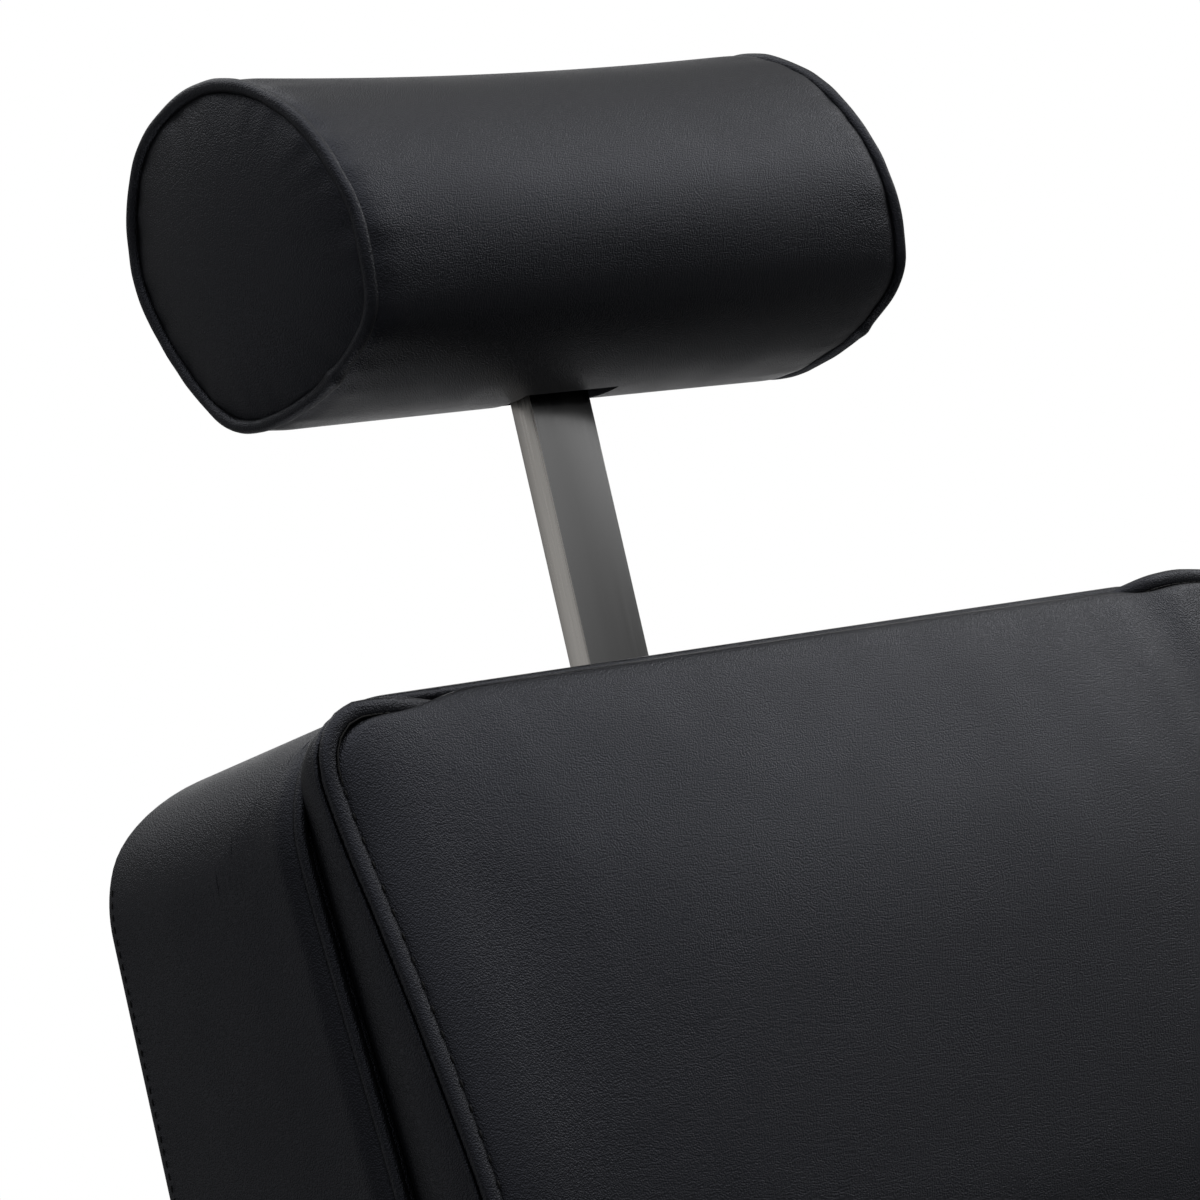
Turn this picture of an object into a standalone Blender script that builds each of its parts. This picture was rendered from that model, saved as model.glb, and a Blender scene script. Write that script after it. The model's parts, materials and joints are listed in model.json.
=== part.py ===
"""Hydraulic reclining barber chair with a sliding, tilting headrest bolster.

The chair stands on the floor at z = 0 with its column on the Z axis and faces -Y. Left and right are
the sitter's, so left is +X. The back stands at its upright stop, the seat is at its lowest and the
headrest is where the photograph shows it. Lengths are in metres.
"""

import math

import bmesh
import bpy
from mathutils import Matrix, Vector

# Clearances: FIT between pieces that touch, RUN between pieces that turn or slide on each other
FIT = 0.0003
RUN = 0.0006

# Base
BASE_RADIUS = 0.33
MAT_THICKNESS = 0.003
FLOOR_PLATE_THICKNESS = 0.006
DOME_WALL = 0.003
DOME_EDGE_HEIGHT = 0.016
DOME_RISE = 0.046
COLLAR_WIDTH = 0.012
COLLAR_HEIGHT = 0.012

# Pump and column
COLUMN_RADIUS = 0.072
COLUMN_WALL = 0.002
COLUMN_TOP = 0.29
CAP_HEIGHT = 0.012
FLANGE_RADIUS = 0.1
FLANGE_THICKNESS = 0.01
BARREL_RADIUS = 0.042
RAM_RADIUS = 0.022
STUB_RADIUS = 0.016
STUB_HEIGHT = 0.034
WASHER_THICKNESS = 0.004

# Pump pedal
PEDAL_PIVOT_FROM_BARREL = 0.009
PEDAL_PIVOT_HEIGHT = 0.125
PEDAL_HALF_HEIGHT = 0.0075
PEDAL_THICKNESS = 0.016
PEDAL_DROP = 0.028
PEDAL_REACH = 0.345
PEDAL_PLATE_LENGTH = 0.083
PEDAL_PLATE_WIDTH = 0.064
PEDAL_PAD_THICKNESS = 0.008
PEDAL_PIN_RADIUS = 0.0045
PLUNGER_RADIUS = 0.005

# Seat
SEAT_WIDTH = 0.5
SEAT_FRONT = -0.29
SEAT_REAR = 0.18
SEAT_PAD_THICKNESS = 0.123
SEAT_CROWN = 0.022
SEAT_BOARD_THICKNESS = 0.012
SEAT_BOARD_INSET = 0.015
SEAT_BOARD_ROUND = 0.03
SEAT_PLATE_THICKNESS = 0.005
SEAT_PLATE_FRONT = -0.15
SEAT_PLATE_REAR = 0.13
SEAT_PLATE_ROUND = 0.012
HUB_WALL = 0.02
HUB_FLANGE_WIDTH = 0.039
HUB_FLANGE_THICKNESS = 0.008
RAIL_WIDTH = 0.02
RAIL_HEIGHT = 0.03
RAIL_WALL = 0.002
RAIL_BEHIND_SEAT = 0.025
BRACKET_OVERLAP = 0.07
BRACKET_HALF_WIDTH = 0.014

# Arms
ARM_FRONT = -0.2
ARM_REAR = 0.12
ARM_RISE = 0.318
ARM_BAR_HALF_WIDTH = 0.015
ARM_BAR_THICKNESS = 0.014
ARM_BEND = 0.045
ARM_PAD_LENGTH = 0.4
ARM_PAD_WIDTH = 0.075
ARM_PAD_THICKNESS = 0.036
ARM_BOLT_RADIUS = 0.004

# Back
RECLINE_REST = math.radians(19)
RECLINE_TRAVEL = math.radians(42)
PIVOT_BEHIND_SEAT = 0.055
PIVOT_ABOVE_RAIL = 0.038
BACK_WIDTH = SEAT_WIDTH
BACK_TOP = 0.677
BACK_BOTTOM = 0.05
BACK_DEPTH = 0.108
BACK_WALL = 0.012
BACK_SIDE_WALL = 0.0195
BACK_TOP_WALL = 0.03
BACK_BOARD_GAP = 0.001
BACK_TOP_ROUND = 0.045
BACK_SIDE_ROUND = 0.016
BACK_BOARD_THICKNESS = 0.012
BACK_PAD_BOTTOM = 0.085
BACK_PAD_TOP = BACK_TOP - 0.004
BACK_PAD_TOP_THICKNESS = 0.028
BACK_PAD_THICKNESS = 0.056
BACK_PAD_CROWN = 0.017
LUMBAR_BOW = 0.0145
LUMBAR_LOW = 0.26
LUMBAR_HIGH = 0.45
LUMBAR_END = BACK_TOP - 0.017
UPRIGHT_HALF_WIDTH = 0.015
UPRIGHT_THICKNESS = 0.006
UPRIGHT_TOP = 0.52
PIN_RADIUS = 0.006
CRANK = 0.06
STUD_RADIUS = 0.005

# Footrest
FOOT_LEAN = math.radians(25)
FOOT_LENGTH = 0.235
FOOT_BAR_HALF_WIDTH = 0.014
CALF_PAD_THICKNESS = 0.045
CALF_PAD_WIDTH = 0.44
CALF_PAD_HEIGHT = 0.175
CALF_BOARD_THICKNESS = 0.01
FOOT_PLATE_LENGTH = 0.185
FOOT_PLATE_WIDTH = 0.4
FOOT_PLATE_THICKNESS = 0.004
FOOT_MAT_THICKNESS = 0.003
TUBE_RADIUS = 0.011

# Gas spring
GAS_X = 0.12
GAS_FRONT = -0.1
GAS_DROP = 0.022
GAS_CRANK = 0.055
GAS_CRANK_HALF_WIDTH = 0.0125
GAS_CRANK_THICKNESS = 0.006
GAS_EYE_HALF_WIDTH = 0.008
GAS_RADIUS = 0.011
GAS_LENGTH = 0.15
ROD_RADIUS = 0.005
ROD_INSERTED = 0.055
GAS_STUD_RADIUS = 0.0045
ROD_EYE_RADIUS = 0.0125
ROD_EYE_BORE = 0.0077

# Recline lever
LEVER_REAR = -0.02
LEVER_LENGTH = 0.13
LEVER_HALF_WIDTH = 0.009
KNOB_LENGTH = 0.034
KNOB_RADIUS = 0.011

# Headrest
HEADREST_LENGTH = 0.28
HEADREST_ABOVE_BACK = 0.179
HEADREST_SAG = 0.004
BAR_WIDTH = 0.032
BAR_THICKNESS = 0.012
BAR_FROM_REAR = 0.0217
BAR_INSERTED = 0.15
BAR_BEHIND_PAD = 0.0046
SOCKET_WALL = 0.002
SOCKET_LENGTH = 0.2
TILT_ABOVE_BASE = 0.014
TILT_PIN_RADIUS = 0.004
# Rounded corners of the bolster's section: behind the section's middle, above it, radius
PAD_ROUNDS = (
    (-0.043, -0.0365, 0.028),
    (0.02, -0.037, 0.028),
    (0.016, 0.018, 0.051),
    (-0.022, 0.018, 0.038),
)

# Heights that follow from the sizes above
MAT_TOP = MAT_THICKNESS
FLOOR_PLATE_TOP = MAT_TOP + FIT + FLOOR_PLATE_THICKNESS
FLANGE_BOTTOM = FLOOR_PLATE_TOP + FIT
FLANGE_TOP = FLANGE_BOTTOM + FLANGE_THICKNESS
DOME_TOP = DOME_EDGE_HEIGHT + DOME_RISE
CAP_TOP = COLUMN_TOP + CAP_HEIGHT
SHOULDER = CAP_TOP + 0.01
WASHER_TOP = SHOULDER + FIT + WASHER_THICKNESS
STUB_TOP = SHOULDER + STUB_HEIGHT
RAIL_BOTTOM = SHOULDER + 0.02
RAIL_MIDDLE = RAIL_BOTTOM + RAIL_HEIGHT / 2
RAIL_TOP = RAIL_BOTTOM + RAIL_HEIGHT
SEAT_PLATE_TOP = RAIL_TOP + FIT + SEAT_PLATE_THICKNESS
SEAT_BOARD_TOP = SEAT_PLATE_TOP + FIT + SEAT_BOARD_THICKNESS
SEAT_PAD_BOTTOM = SEAT_BOARD_TOP + FIT
SEAT_PAD_TOP = SEAT_PAD_BOTTOM + SEAT_PAD_THICKNESS
ARM_TOP = RAIL_TOP + ARM_RISE

# Planes across the chair, from the outside in
RAIL_OUTER = SEAT_WIDTH / 2 + 0.005
RAIL_INNER = RAIL_OUTER - RAIL_WIDTH
BRACKET_OUTER = RAIL_INNER - FIT
BRACKET_INNER = BRACKET_OUTER - UPRIGHT_THICKNESS
UPRIGHT_OUTER = BRACKET_INNER - RUN
UPRIGHT_INNER = UPRIGHT_OUTER - UPRIGHT_THICKNESS
LINK_OUTER = UPRIGHT_INNER - RUN
LINK_INNER = LINK_OUTER - UPRIGHT_THICKNESS
ARM_INNER = RAIL_OUTER + FIT
ARM_OUTER = ARM_INNER + ARM_BAR_THICKNESS

# Joint positions: (y, z)
RECLINE_PIVOT = (SEAT_REAR + PIVOT_BEHIND_SEAT, RAIL_TOP + PIVOT_ABOVE_RAIL)
FOOT_PIVOT = (SEAT_FRONT + 0.025, RAIL_MIDDLE)
GAS_PIVOT = (GAS_FRONT, RAIL_TOP - GAS_DROP)
LEVER_PIVOT = (LEVER_REAR, RAIL_MIDDLE)
PEDAL_PIVOT_X = BARREL_RADIUS + PEDAL_PIVOT_FROM_BARREL

# The back's own frame: n runs rearward and w up along the back, from the recline pivot
CASING_FRONT = -(UPRIGHT_HALF_WIDTH + FIT + BACK_BOARD_THICKNESS)
CASING_REAR = CASING_FRONT + BACK_DEPTH
BAR_N = CASING_REAR - BAR_FROM_REAR
PAD_MIDDLE = BACK_TOP + HEADREST_ABOVE_BACK
PAD_BASE = PAD_MIDDLE + min(up - radius for behind, up, radius in PAD_ROUNDS)
TILT_HEIGHT = PAD_BASE + TILT_ABOVE_BASE

SIDES = (("left", 1), ("right", -1))


def make_collection(name):
    """A new collection in the scene."""
    group = bpy.data.collections.new(name)
    bpy.context.scene.collection.children.link(group)
    return group


def make_finish(name, colour, roughness, metallic):
    """A Principled material of one colour."""
    finish = bpy.data.materials.new(name)
    finish.use_nodes = True
    shader = finish.node_tree.nodes["Principled BSDF"]
    shader.inputs["Base Color"].default_value = (*colour, 1.0)
    shader.inputs["Roughness"].default_value = roughness
    shader.inputs["Metallic"].default_value = metallic
    finish.diffuse_color = (*colour, 1.0)
    return finish


for leftover in list(bpy.data.objects):
    bpy.data.objects.remove(leftover, do_unlink=True)

PARTS = make_collection("barber_chair")
CUTTERS = make_collection("cutters")
CHROME = make_finish("chrome", (0.72, 0.72, 0.72), 0.12, 1.0)
STEEL = make_finish("steel", (0.42, 0.42, 0.43), 0.35, 1.0)
BLACK_STEEL = make_finish("black_steel", (0.03, 0.03, 0.03), 0.45, 0.0)
LEATHER = make_finish("leather", (0.022, 0.021, 0.023), 0.48, 0.0)
RUBBER = make_finish("rubber", (0.025, 0.025, 0.025), 0.8, 0.0)
WOOD = make_finish("plywood", (0.5, 0.36, 0.22), 0.7, 0.0)
PLASTIC = make_finish("plastic", (0.02, 0.02, 0.02), 0.4, 0.0)


def make_frame(name, parent=None, location=(0, 0, 0), lean=0.0):
    """An empty that stands on a joint axis; lean tips its top rearward."""
    empty = bpy.data.objects.new(name, None)
    PARTS.objects.link(empty)
    empty.parent = parent
    empty.location = location
    empty.rotation_euler = (-lean, 0, 0)
    return empty


def add_piece(name, data, finish, parent, location=(0, 0, 0), rotation=(0, 0, 0)):
    """A visible sub-part with its finish."""
    obj = bpy.data.objects.new(name, data)
    PARTS.objects.link(obj)
    obj.parent = parent
    obj.location = location
    obj.rotation_euler = rotation
    data.materials.append(finish)
    return obj


def add_helper(name, data, parent, location=(0, 0, 0), rotation=(0, 0, 0)):
    """A hidden body for a Boolean."""
    obj = bpy.data.objects.new(name, data)
    CUTTERS.objects.link(obj)
    obj.parent = parent
    obj.location = location
    obj.rotation_euler = rotation
    obj.hide_render = True
    obj.display_type = "WIRE"
    return obj


def combine(piece, helper, operation):
    """Adds an exact Boolean to a piece."""
    modifier = piece.modifiers.new(helper.name, "BOOLEAN")
    modifier.solver = "EXACT"
    modifier.operation = operation
    modifier.object = helper


def cut(piece, helper):
    """Takes the helper out of the piece."""
    combine(piece, helper, "DIFFERENCE")


def fuse(piece, helper):
    """Joins the helper to the piece."""
    combine(piece, helper, "UNION")


def mesh_from(name, bm):
    """A mesh from a bmesh, which is freed."""
    bmesh.ops.recalc_face_normals(bm, faces=bm.faces)
    mesh = bpy.data.meshes.new(name)
    bm.to_mesh(mesh)
    bm.free()
    return mesh


def box_mesh(name, low, high):
    """A box between two corners."""
    bm = bmesh.new()
    bmesh.ops.create_cube(bm, size=1.0)
    middle = (Vector(low) + Vector(high)) / 2
    sides = Vector(high) - Vector(low)
    bmesh.ops.scale(bm, vec=sides, verts=bm.verts)
    bmesh.ops.translate(bm, vec=middle, verts=bm.verts)
    return mesh_from(name, bm)


def cylinder_mesh(name, radius, start, end, segments=20):
    """A cylinder from one point to another."""
    span = Vector(end) - Vector(start)
    turn = span.to_track_quat("Z", "Y").to_matrix().to_4x4()
    matrix = Matrix.Translation((Vector(start) + Vector(end)) / 2) @ turn
    bm = bmesh.new()
    bmesh.ops.create_cone(
        bm,
        cap_ends=True,
        segments=segments,
        radius1=radius,
        radius2=radius,
        depth=span.length,
        matrix=matrix,
    )
    return mesh_from(name, bm)


def flat_mesh(name, loops, thickness):
    """A flat outline with holes, given thickness, as a welded mesh in its own XY plane."""
    curve = bpy.data.curves.new(name, "CURVE")
    curve.dimensions = "2D"
    curve.fill_mode = "BOTH"
    curve.extrude = thickness / 2
    for loop in loops:
        spline = curve.splines.new("POLY")
        spline.points.add(len(loop) - 1)
        spline.use_cyclic_u = True
        for point, (across, along) in zip(spline.points, loop):
            point.co = (across, along, 0, 1)
    holder = bpy.data.objects.new(name, curve)
    CUTTERS.objects.link(holder)
    bpy.context.view_layer.update()
    graph = bpy.context.evaluated_depsgraph_get()
    mesh = bpy.data.meshes.new_from_object(holder.evaluated_get(graph))
    bpy.data.objects.remove(holder)
    bpy.data.curves.remove(curve)
    bm = bmesh.new()
    bm.from_mesh(mesh)
    bpy.data.meshes.remove(mesh)
    bmesh.ops.remove_doubles(bm, verts=bm.verts, dist=0.000001)
    return mesh_from(name, bm)


def loft_mesh(name, sections):
    """A closed skin over sections with the same number of points."""
    bm = bmesh.new()
    rings = [[bm.verts.new(point) for point in section] for section in sections]
    for ring, following in zip(rings, rings[1:]):
        for i in range(len(ring)):
            j = (i + 1) % len(ring)
            bm.faces.new((ring[i], ring[j], following[j], following[i]))
    bm.faces.new(rings[0])
    bm.faces.new(rings[-1])
    return mesh_from(name, bm)


def turn_profile(name, profile, finish, parent, steps=32, ring=False, location=(0, 0, 0), rotation=(0, 0, 0)):
    """A turned piece from (radius, height) points; a ring's profile is a closed loop."""
    mesh = bpy.data.meshes.new(name)
    points = [(radius, 0, height) for radius, height in profile]
    edges = [(i, i + 1) for i in range(len(points) - 1)]
    if ring:
        edges.append((len(points) - 1, 0))
    mesh.from_pydata(points, edges, [])
    obj = add_piece(name, mesh, finish, parent, location, rotation)
    screw = obj.modifiers.new("turn", "SCREW")
    screw.axis = "Z"
    screw.angle = 2 * math.pi
    screw.steps = steps
    screw.render_steps = steps
    screw.use_merge_vertices = True
    screw.merge_threshold = 0.00001
    return obj


def bevel_edges(piece, width, segments=2):
    """Rounds a piece's sharp edges."""
    modifier = piece.modifiers.new("edges", "BEVEL")
    modifier.width = width
    modifier.segments = segments
    modifier.limit_method = "ANGLE"
    modifier.angle_limit = math.radians(50)


def circle(middle, radius, count=16):
    """Points round a circle."""
    angles = [2 * math.pi * i / count for i in range(count)]
    return [(middle[0] + radius * math.cos(a), middle[1] + radius * math.sin(a)) for a in angles]


def rounded_polygon(corners, steps=4):
    """A convex outline from (across, along, radius) corners, anticlockwise, with filleted corners."""
    outline = []
    for i, (across, along, radius) in enumerate(corners):
        corner = Vector((across, along))
        before = (Vector(corners[i - 1][:2]) - corner).normalized()
        after = (Vector(corners[(i + 1) % len(corners)][:2]) - corner).normalized()
        half = before.angle(after) / 2
        middle = corner + (before + after).normalized() * radius / math.sin(half)
        start = corner + before * radius / math.tan(half) - middle
        sweep = math.pi - 2 * half
        for step in range(steps + 1):
            point = middle + Matrix.Rotation(sweep * step / steps, 2) @ start
            outline.append((point.x, point.y))
    return outline


def rounded_rectangle(left, right, low, high, radius, steps=4):
    """A rectangle with equal rounded corners."""
    corners = ((left, low), (right, low), (right, high), (left, high))
    return rounded_polygon([(a, b, radius) for a, b in corners], steps)


def hull(rounds, count=24):
    """The outline of a band stretched round circles, anticlockwise."""
    points = sorted({p for a, b, radius in rounds for p in circle((a, b), radius, count)})

    def chain(ordered):
        kept = []
        for point in ordered:
            while len(kept) > 1:
                first = Vector(kept[-1]) - Vector(kept[-2])
                second = Vector(point) - Vector(kept[-1])
                if first.cross(second) > 0:
                    break
                kept.pop()
            kept.append(point)
        return kept[:-1]

    return chain(points) + chain(reversed(points))


def bend_path(path, radius, steps=6):
    """An open path with its inner corners bent to a radius."""
    bent = [Vector(path[0])]
    for before, corner, after in zip(path, path[1:], path[2:]):
        corner = Vector(corner)
        back = (Vector(before) - corner).normalized()
        on = (Vector(after) - corner).normalized()
        half = back.angle(on) / 2
        middle = corner + (back + on).normalized() * radius / math.sin(half)
        start = corner + back * radius / math.tan(half) - middle
        turn = math.copysign(math.pi - 2 * half, back.cross(on) * -1)
        for step in range(steps + 1):
            bent.append(middle + Matrix.Rotation(turn * step / steps, 2) @ start)
    bent.append(Vector(path[-1]))
    return bent


def strip(path, half_width, round_ends=True, steps=6):
    """The outline of a bar that follows a path."""
    path = [Vector(point) for point in path]
    left = []
    right = []
    for i, point in enumerate(path):
        into = (point - path[i - 1]).normalized() if i else None
        out = (path[i + 1] - point).normalized() if i + 1 < len(path) else into
        into = into or out
        along = (into + out).normalized()
        side = Vector((-along.y, along.x)) * half_width / along.dot(out)
        left.append(point + side)
        right.append(point - side)
    outline = right + left[::-1]
    if round_ends:
        tip = arc_between(path[-1], right[-1], steps)
        tail = arc_between(path[0], left[0], steps)
        outline = right + tip + left[::-1] + tail
    return [(point.x, point.y) for point in outline]


def arc_between(middle, start, steps):
    """Points of a half turn about the middle, without its two ends."""
    spoke = start - middle
    return [middle + Matrix.Rotation(math.pi * i / steps, 2) @ spoke for i in range(1, steps)]


def side_plate(name, loops, low, high, finish, parent):
    """A plate in the YZ plane that fills x from low to high."""
    mesh = flat_mesh(name, loops, high - low)
    turned = (math.pi / 2, 0, math.pi / 2)
    return add_piece(name, mesh, finish, parent, ((low + high) / 2, 0, 0), turned)


def front_plate(name, loops, front, rear, finish, parent):
    """A plate in the XZ plane that fills y from front to rear."""
    mesh = flat_mesh(name, loops, rear - front)
    return add_piece(name, mesh, finish, parent, (0, (front + rear) / 2, 0), (math.pi / 2, 0, 0))


def level_plate(name, loops, low, high, finish, parent):
    """A plate in the XY plane that fills z from low to high."""
    mesh = flat_mesh(name, loops, high - low)
    return add_piece(name, mesh, finish, parent, (0, 0, (low + high) / 2))


def cross_pin(name, profile, at, side, finish, parent, steps=14):
    """A turned pin along X: profile heights are distances from the chair's middle plane."""
    return turn_profile(name, profile, finish, parent, steps, False, (0, *at), (0, side * math.pi / 2, 0))


def cross_hole(piece, name, radius, at, low, high, parent, segments=14):
    """A round hole along X."""
    mesh = cylinder_mesh(name, radius, (low, *at), (high, *at), segments)
    cut(piece, add_helper(name, mesh, parent))


def soft_pad(
    name, width, length, thickness, crown, draw_in, finish, parent, location, rotation=(0, 0, 0), cuts=3
):
    """A padded cushion: width on X, length on Y, and a thickness up from z = 0 that may vary along it."""
    depth = thickness if callable(thickness) else lambda along: thickness
    bm = bmesh.new()
    bmesh.ops.create_cube(bm, size=2.0)
    bmesh.ops.subdivide_edges(bm, edges=bm.edges[:], cuts=cuts, use_grid_fill=True)
    for vert in bm.verts:
        u, v, t = [math.copysign(abs(c) ** 0.4, c) if c else 0.0 for c in vert.co]
        x = u * width / 2 * (1 - draw_in * (1 - v * v))
        y = v * length / 2 * (1 - draw_in * (1 - u * u))
        rise = (t + 1) / 2
        vert.co = (x, y, rise * (depth(v) + crown * (1 - u * u) * (1 - v * v)))
    obj = add_piece(name, mesh_from(name, bm), finish, parent, location, rotation)
    soften = obj.modifiers.new("soften", "SUBSURF")
    soften.levels = 1
    soften.render_levels = 1
    return obj


def build_base(frame):
    """Floor mat, ballast plate, chromed dome and its collar."""
    mat = cylinder_mesh("base_mat", BASE_RADIUS, (0, 0, 0), (0, 0, MAT_TOP), 40)
    add_piece("base_mat", mat, RUBBER, frame)
    radius = BASE_RADIUS - DOME_WALL - 0.004
    plate = cylinder_mesh("base_plate", radius, (0, 0, MAT_TOP + FIT), (0, 0, FLOOR_PLATE_TOP), 40)
    add_piece("base_plate", plate, STEEL, frame)
    inner = COLUMN_RADIUS + RUN
    crest = inner + COLLAR_WIDTH
    edge = BASE_RADIUS - DOME_EDGE_HEIGHT * 0.7
    outside = [(inner, DOME_TOP), (crest, DOME_TOP)]
    for i in range(1, 5):
        t = i / 4
        height = DOME_EDGE_HEIGHT + DOME_RISE * (1 - t) ** 2
        outside.append((crest + (edge - crest) * t, height))
    outside.append((BASE_RADIUS - DOME_EDGE_HEIGHT * 0.2, DOME_EDGE_HEIGHT * 0.8))
    outside.append((BASE_RADIUS, DOME_EDGE_HEIGHT * 0.45))
    outside.append((BASE_RADIUS, MAT_TOP + FIT))
    inside = [(BASE_RADIUS - DOME_WALL, MAT_TOP + FIT)]
    inside.append((BASE_RADIUS - DOME_WALL, DOME_EDGE_HEIGHT * 0.45))
    for radius, height in outside[-4:0:-1]:
        inside.append((radius, height - DOME_WALL))
    inside.append((inner, DOME_TOP - DOME_WALL))
    turn_profile("base_dome", outside + inside, CHROME, frame, 40, True)
    low = DOME_TOP + FIT
    ring = [
        (inner, low + COLLAR_HEIGHT),
        (inner + COLLAR_WIDTH * 0.3, low + COLLAR_HEIGHT),
        (inner + COLLAR_WIDTH * 0.6, low + COLLAR_HEIGHT * 0.6),
        (inner + COLLAR_WIDTH, low + COLLAR_HEIGHT * 0.3),
        (inner + COLLAR_WIDTH, low),
        (inner, low),
    ]
    turn_profile("dome_collar", ring, CHROME, frame, 32, True)


def build_pump(frame):
    """Pump body with its plunger block, chromed cover, cap and pedal pin."""
    bore = RAM_RADIUS + RUN
    bore_bottom = FLANGE_BOTTOM + 0.02
    top = COLUMN_TOP - 0.002
    profile = [
        (0, bore_bottom),
        (bore, bore_bottom),
        (bore, top),
        (BARREL_RADIUS, top),
        (BARREL_RADIUS, FLANGE_TOP),
        (FLANGE_RADIUS, FLANGE_TOP),
        (FLANGE_RADIUS, FLANGE_BOTTOM),
        (0, FLANGE_BOTTOM),
    ]
    body = turn_profile("pump_body", profile, STEEL, frame, 32)
    ear = PEDAL_THICKNESS / 2 + RUN + 0.0045
    reach = PEDAL_PIVOT_X + 0.015
    low = (BARREL_RADIUS - 0.008, -ear, FLANGE_TOP - 0.002)
    high = (reach, ear, PEDAL_PIVOT_HEIGHT + 0.012)
    fuse(body, add_helper("pump_block", box_mesh("pump_block", low, high), frame))
    gap = PEDAL_THICKNESS / 2 + RUN
    low = (BARREL_RADIUS + 0.0005, -gap, PEDAL_PIVOT_HEIGHT - 0.016)
    high = (reach + 0.01, gap, PEDAL_PIVOT_HEIGHT + 0.03)
    cut(body, add_helper("pedal_slot", box_mesh("pedal_slot", low, high), frame))
    pin_at = (PEDAL_PIVOT_X, PEDAL_PIVOT_HEIGHT)
    hole = y_cylinder("pedal_pin_hole", PEDAL_PIN_RADIUS + FIT, pin_at, ear + 0.01)
    cut(body, add_helper("pedal_pin_hole", hole, frame))
    middle = PEDAL_PIVOT_X + 0.0075
    low = (middle, 0, PEDAL_PIVOT_HEIGHT - 0.065)
    high = (middle, 0, PEDAL_PIVOT_HEIGHT)
    hole = cylinder_mesh("plunger_bore", PLUNGER_RADIUS + RUN, low, high, 16)
    cut(body, add_helper("plunger_bore", hole, frame))
    pin = y_cylinder("pedal_pin", PEDAL_PIN_RADIUS, pin_at, ear)
    add_piece("pedal_pin", pin, STEEL, frame)
    tube = [
        (COLUMN_RADIUS, COLUMN_TOP),
        (COLUMN_RADIUS, FLANGE_TOP + FIT),
        (COLUMN_RADIUS - COLUMN_WALL, FLANGE_TOP + FIT),
        (COLUMN_RADIUS - COLUMN_WALL, COLUMN_TOP),
    ]
    cover = turn_profile("pump_cover", tube, CHROME, frame, 32, True)
    low = (COLUMN_RADIUS - 0.015, -gap - 0.002, PEDAL_PIVOT_HEIGHT - 0.015)
    high = (COLUMN_RADIUS + 0.01, gap + 0.002, PEDAL_PIVOT_HEIGHT + 0.013)
    cut(cover, add_helper("cover_slot", box_mesh("cover_slot", low, high), frame))
    ring = [
        (bore, CAP_TOP),
        (COLUMN_RADIUS * 0.7, CAP_TOP),
        (COLUMN_RADIUS * 0.97, CAP_TOP - CAP_HEIGHT * 0.3),
        (COLUMN_RADIUS, CAP_TOP - CAP_HEIGHT * 0.6),
        (COLUMN_RADIUS, COLUMN_TOP + FIT),
        (bore, COLUMN_TOP + FIT),
    ]
    turn_profile("column_cap", ring, CHROME, frame, 32, True)


def y_cylinder(name, radius, at, half, segments=16):
    """A cylinder along Y at (x, z)."""
    return cylinder_mesh(name, radius, (at[0], -half, at[1]), (at[0], half, at[1]), segments)


def build_pedal(frame):
    """Pump lever with its foot plate, and the rubber on it; the frame stands on the pivot."""
    end = PEDAL_REACH - PEDAL_PIVOT_X
    plate_start = end - PEDAL_PLATE_LENGTH
    path = [
        (0, 0),
        (plate_start * 0.19, 0),
        (plate_start * 0.52, -PEDAL_DROP * 0.6),
        (plate_start * 0.94, -PEDAL_DROP),
        (end - PEDAL_HALF_HEIGHT, -PEDAL_DROP),
    ]
    hole = circle((0, 0), PEDAL_PIN_RADIUS + RUN, 16)
    outline = strip(path, PEDAL_HALF_HEIGHT)
    half = PEDAL_THICKNESS / 2
    lever = front_plate("pump_lever", [outline, hole], -half, half, CHROME, frame)
    top = PEDAL_HALF_HEIGHT - PEDAL_DROP
    side = PEDAL_PLATE_WIDTH / 2
    low = (plate_start, -side, top - 0.001)
    high = (end, side, top + 0.004)
    fuse(lever, add_helper("pedal_plate", box_mesh("pedal_plate", low, high), frame))
    low = (plate_start + 0.002, -side + 0.002, top + 0.004 + FIT)
    high = (end - 0.002, side - 0.002, top + 0.004 + FIT + PEDAL_PAD_THICKNESS)
    pad = add_piece("pedal_pad", box_mesh("pedal_pad", low, high), RUBBER, frame)
    bevel_edges(pad, 0.003)


def build_plunger(frame):
    """The pump plunger that the lever pushes down."""
    middle = PEDAL_PIVOT_X + 0.0075
    top = PEDAL_PIVOT_HEIGHT - PEDAL_HALF_HEIGHT - FIT
    low = (middle, 0, PEDAL_PIVOT_HEIGHT - 0.057)
    mesh = cylinder_mesh("pump_plunger", PLUNGER_RADIUS, low, (middle, 0, top), 16)
    add_piece("pump_plunger", mesh, STEEL, frame)


def build_lift(frame):
    """The lifting ram and the washer that the seat turns on."""
    profile = [
        (0, STUB_TOP),
        (STUB_RADIUS, STUB_TOP),
        (STUB_RADIUS, SHOULDER),
        (RAM_RADIUS, SHOULDER),
        (RAM_RADIUS, FLANGE_BOTTOM + 0.024),
        (0, FLANGE_BOTTOM + 0.024),
    ]
    turn_profile("lift_ram", profile, CHROME, frame, 28)
    ring = [
        (STUB_RADIUS + RUN, WASHER_TOP),
        (RAM_RADIUS + 0.01, WASHER_TOP),
        (RAM_RADIUS + 0.01, SHOULDER + FIT),
        (STUB_RADIUS + RUN, SHOULDER + FIT),
    ]
    turn_profile("thrust_washer", ring, STEEL, frame, 28, True)


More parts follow.
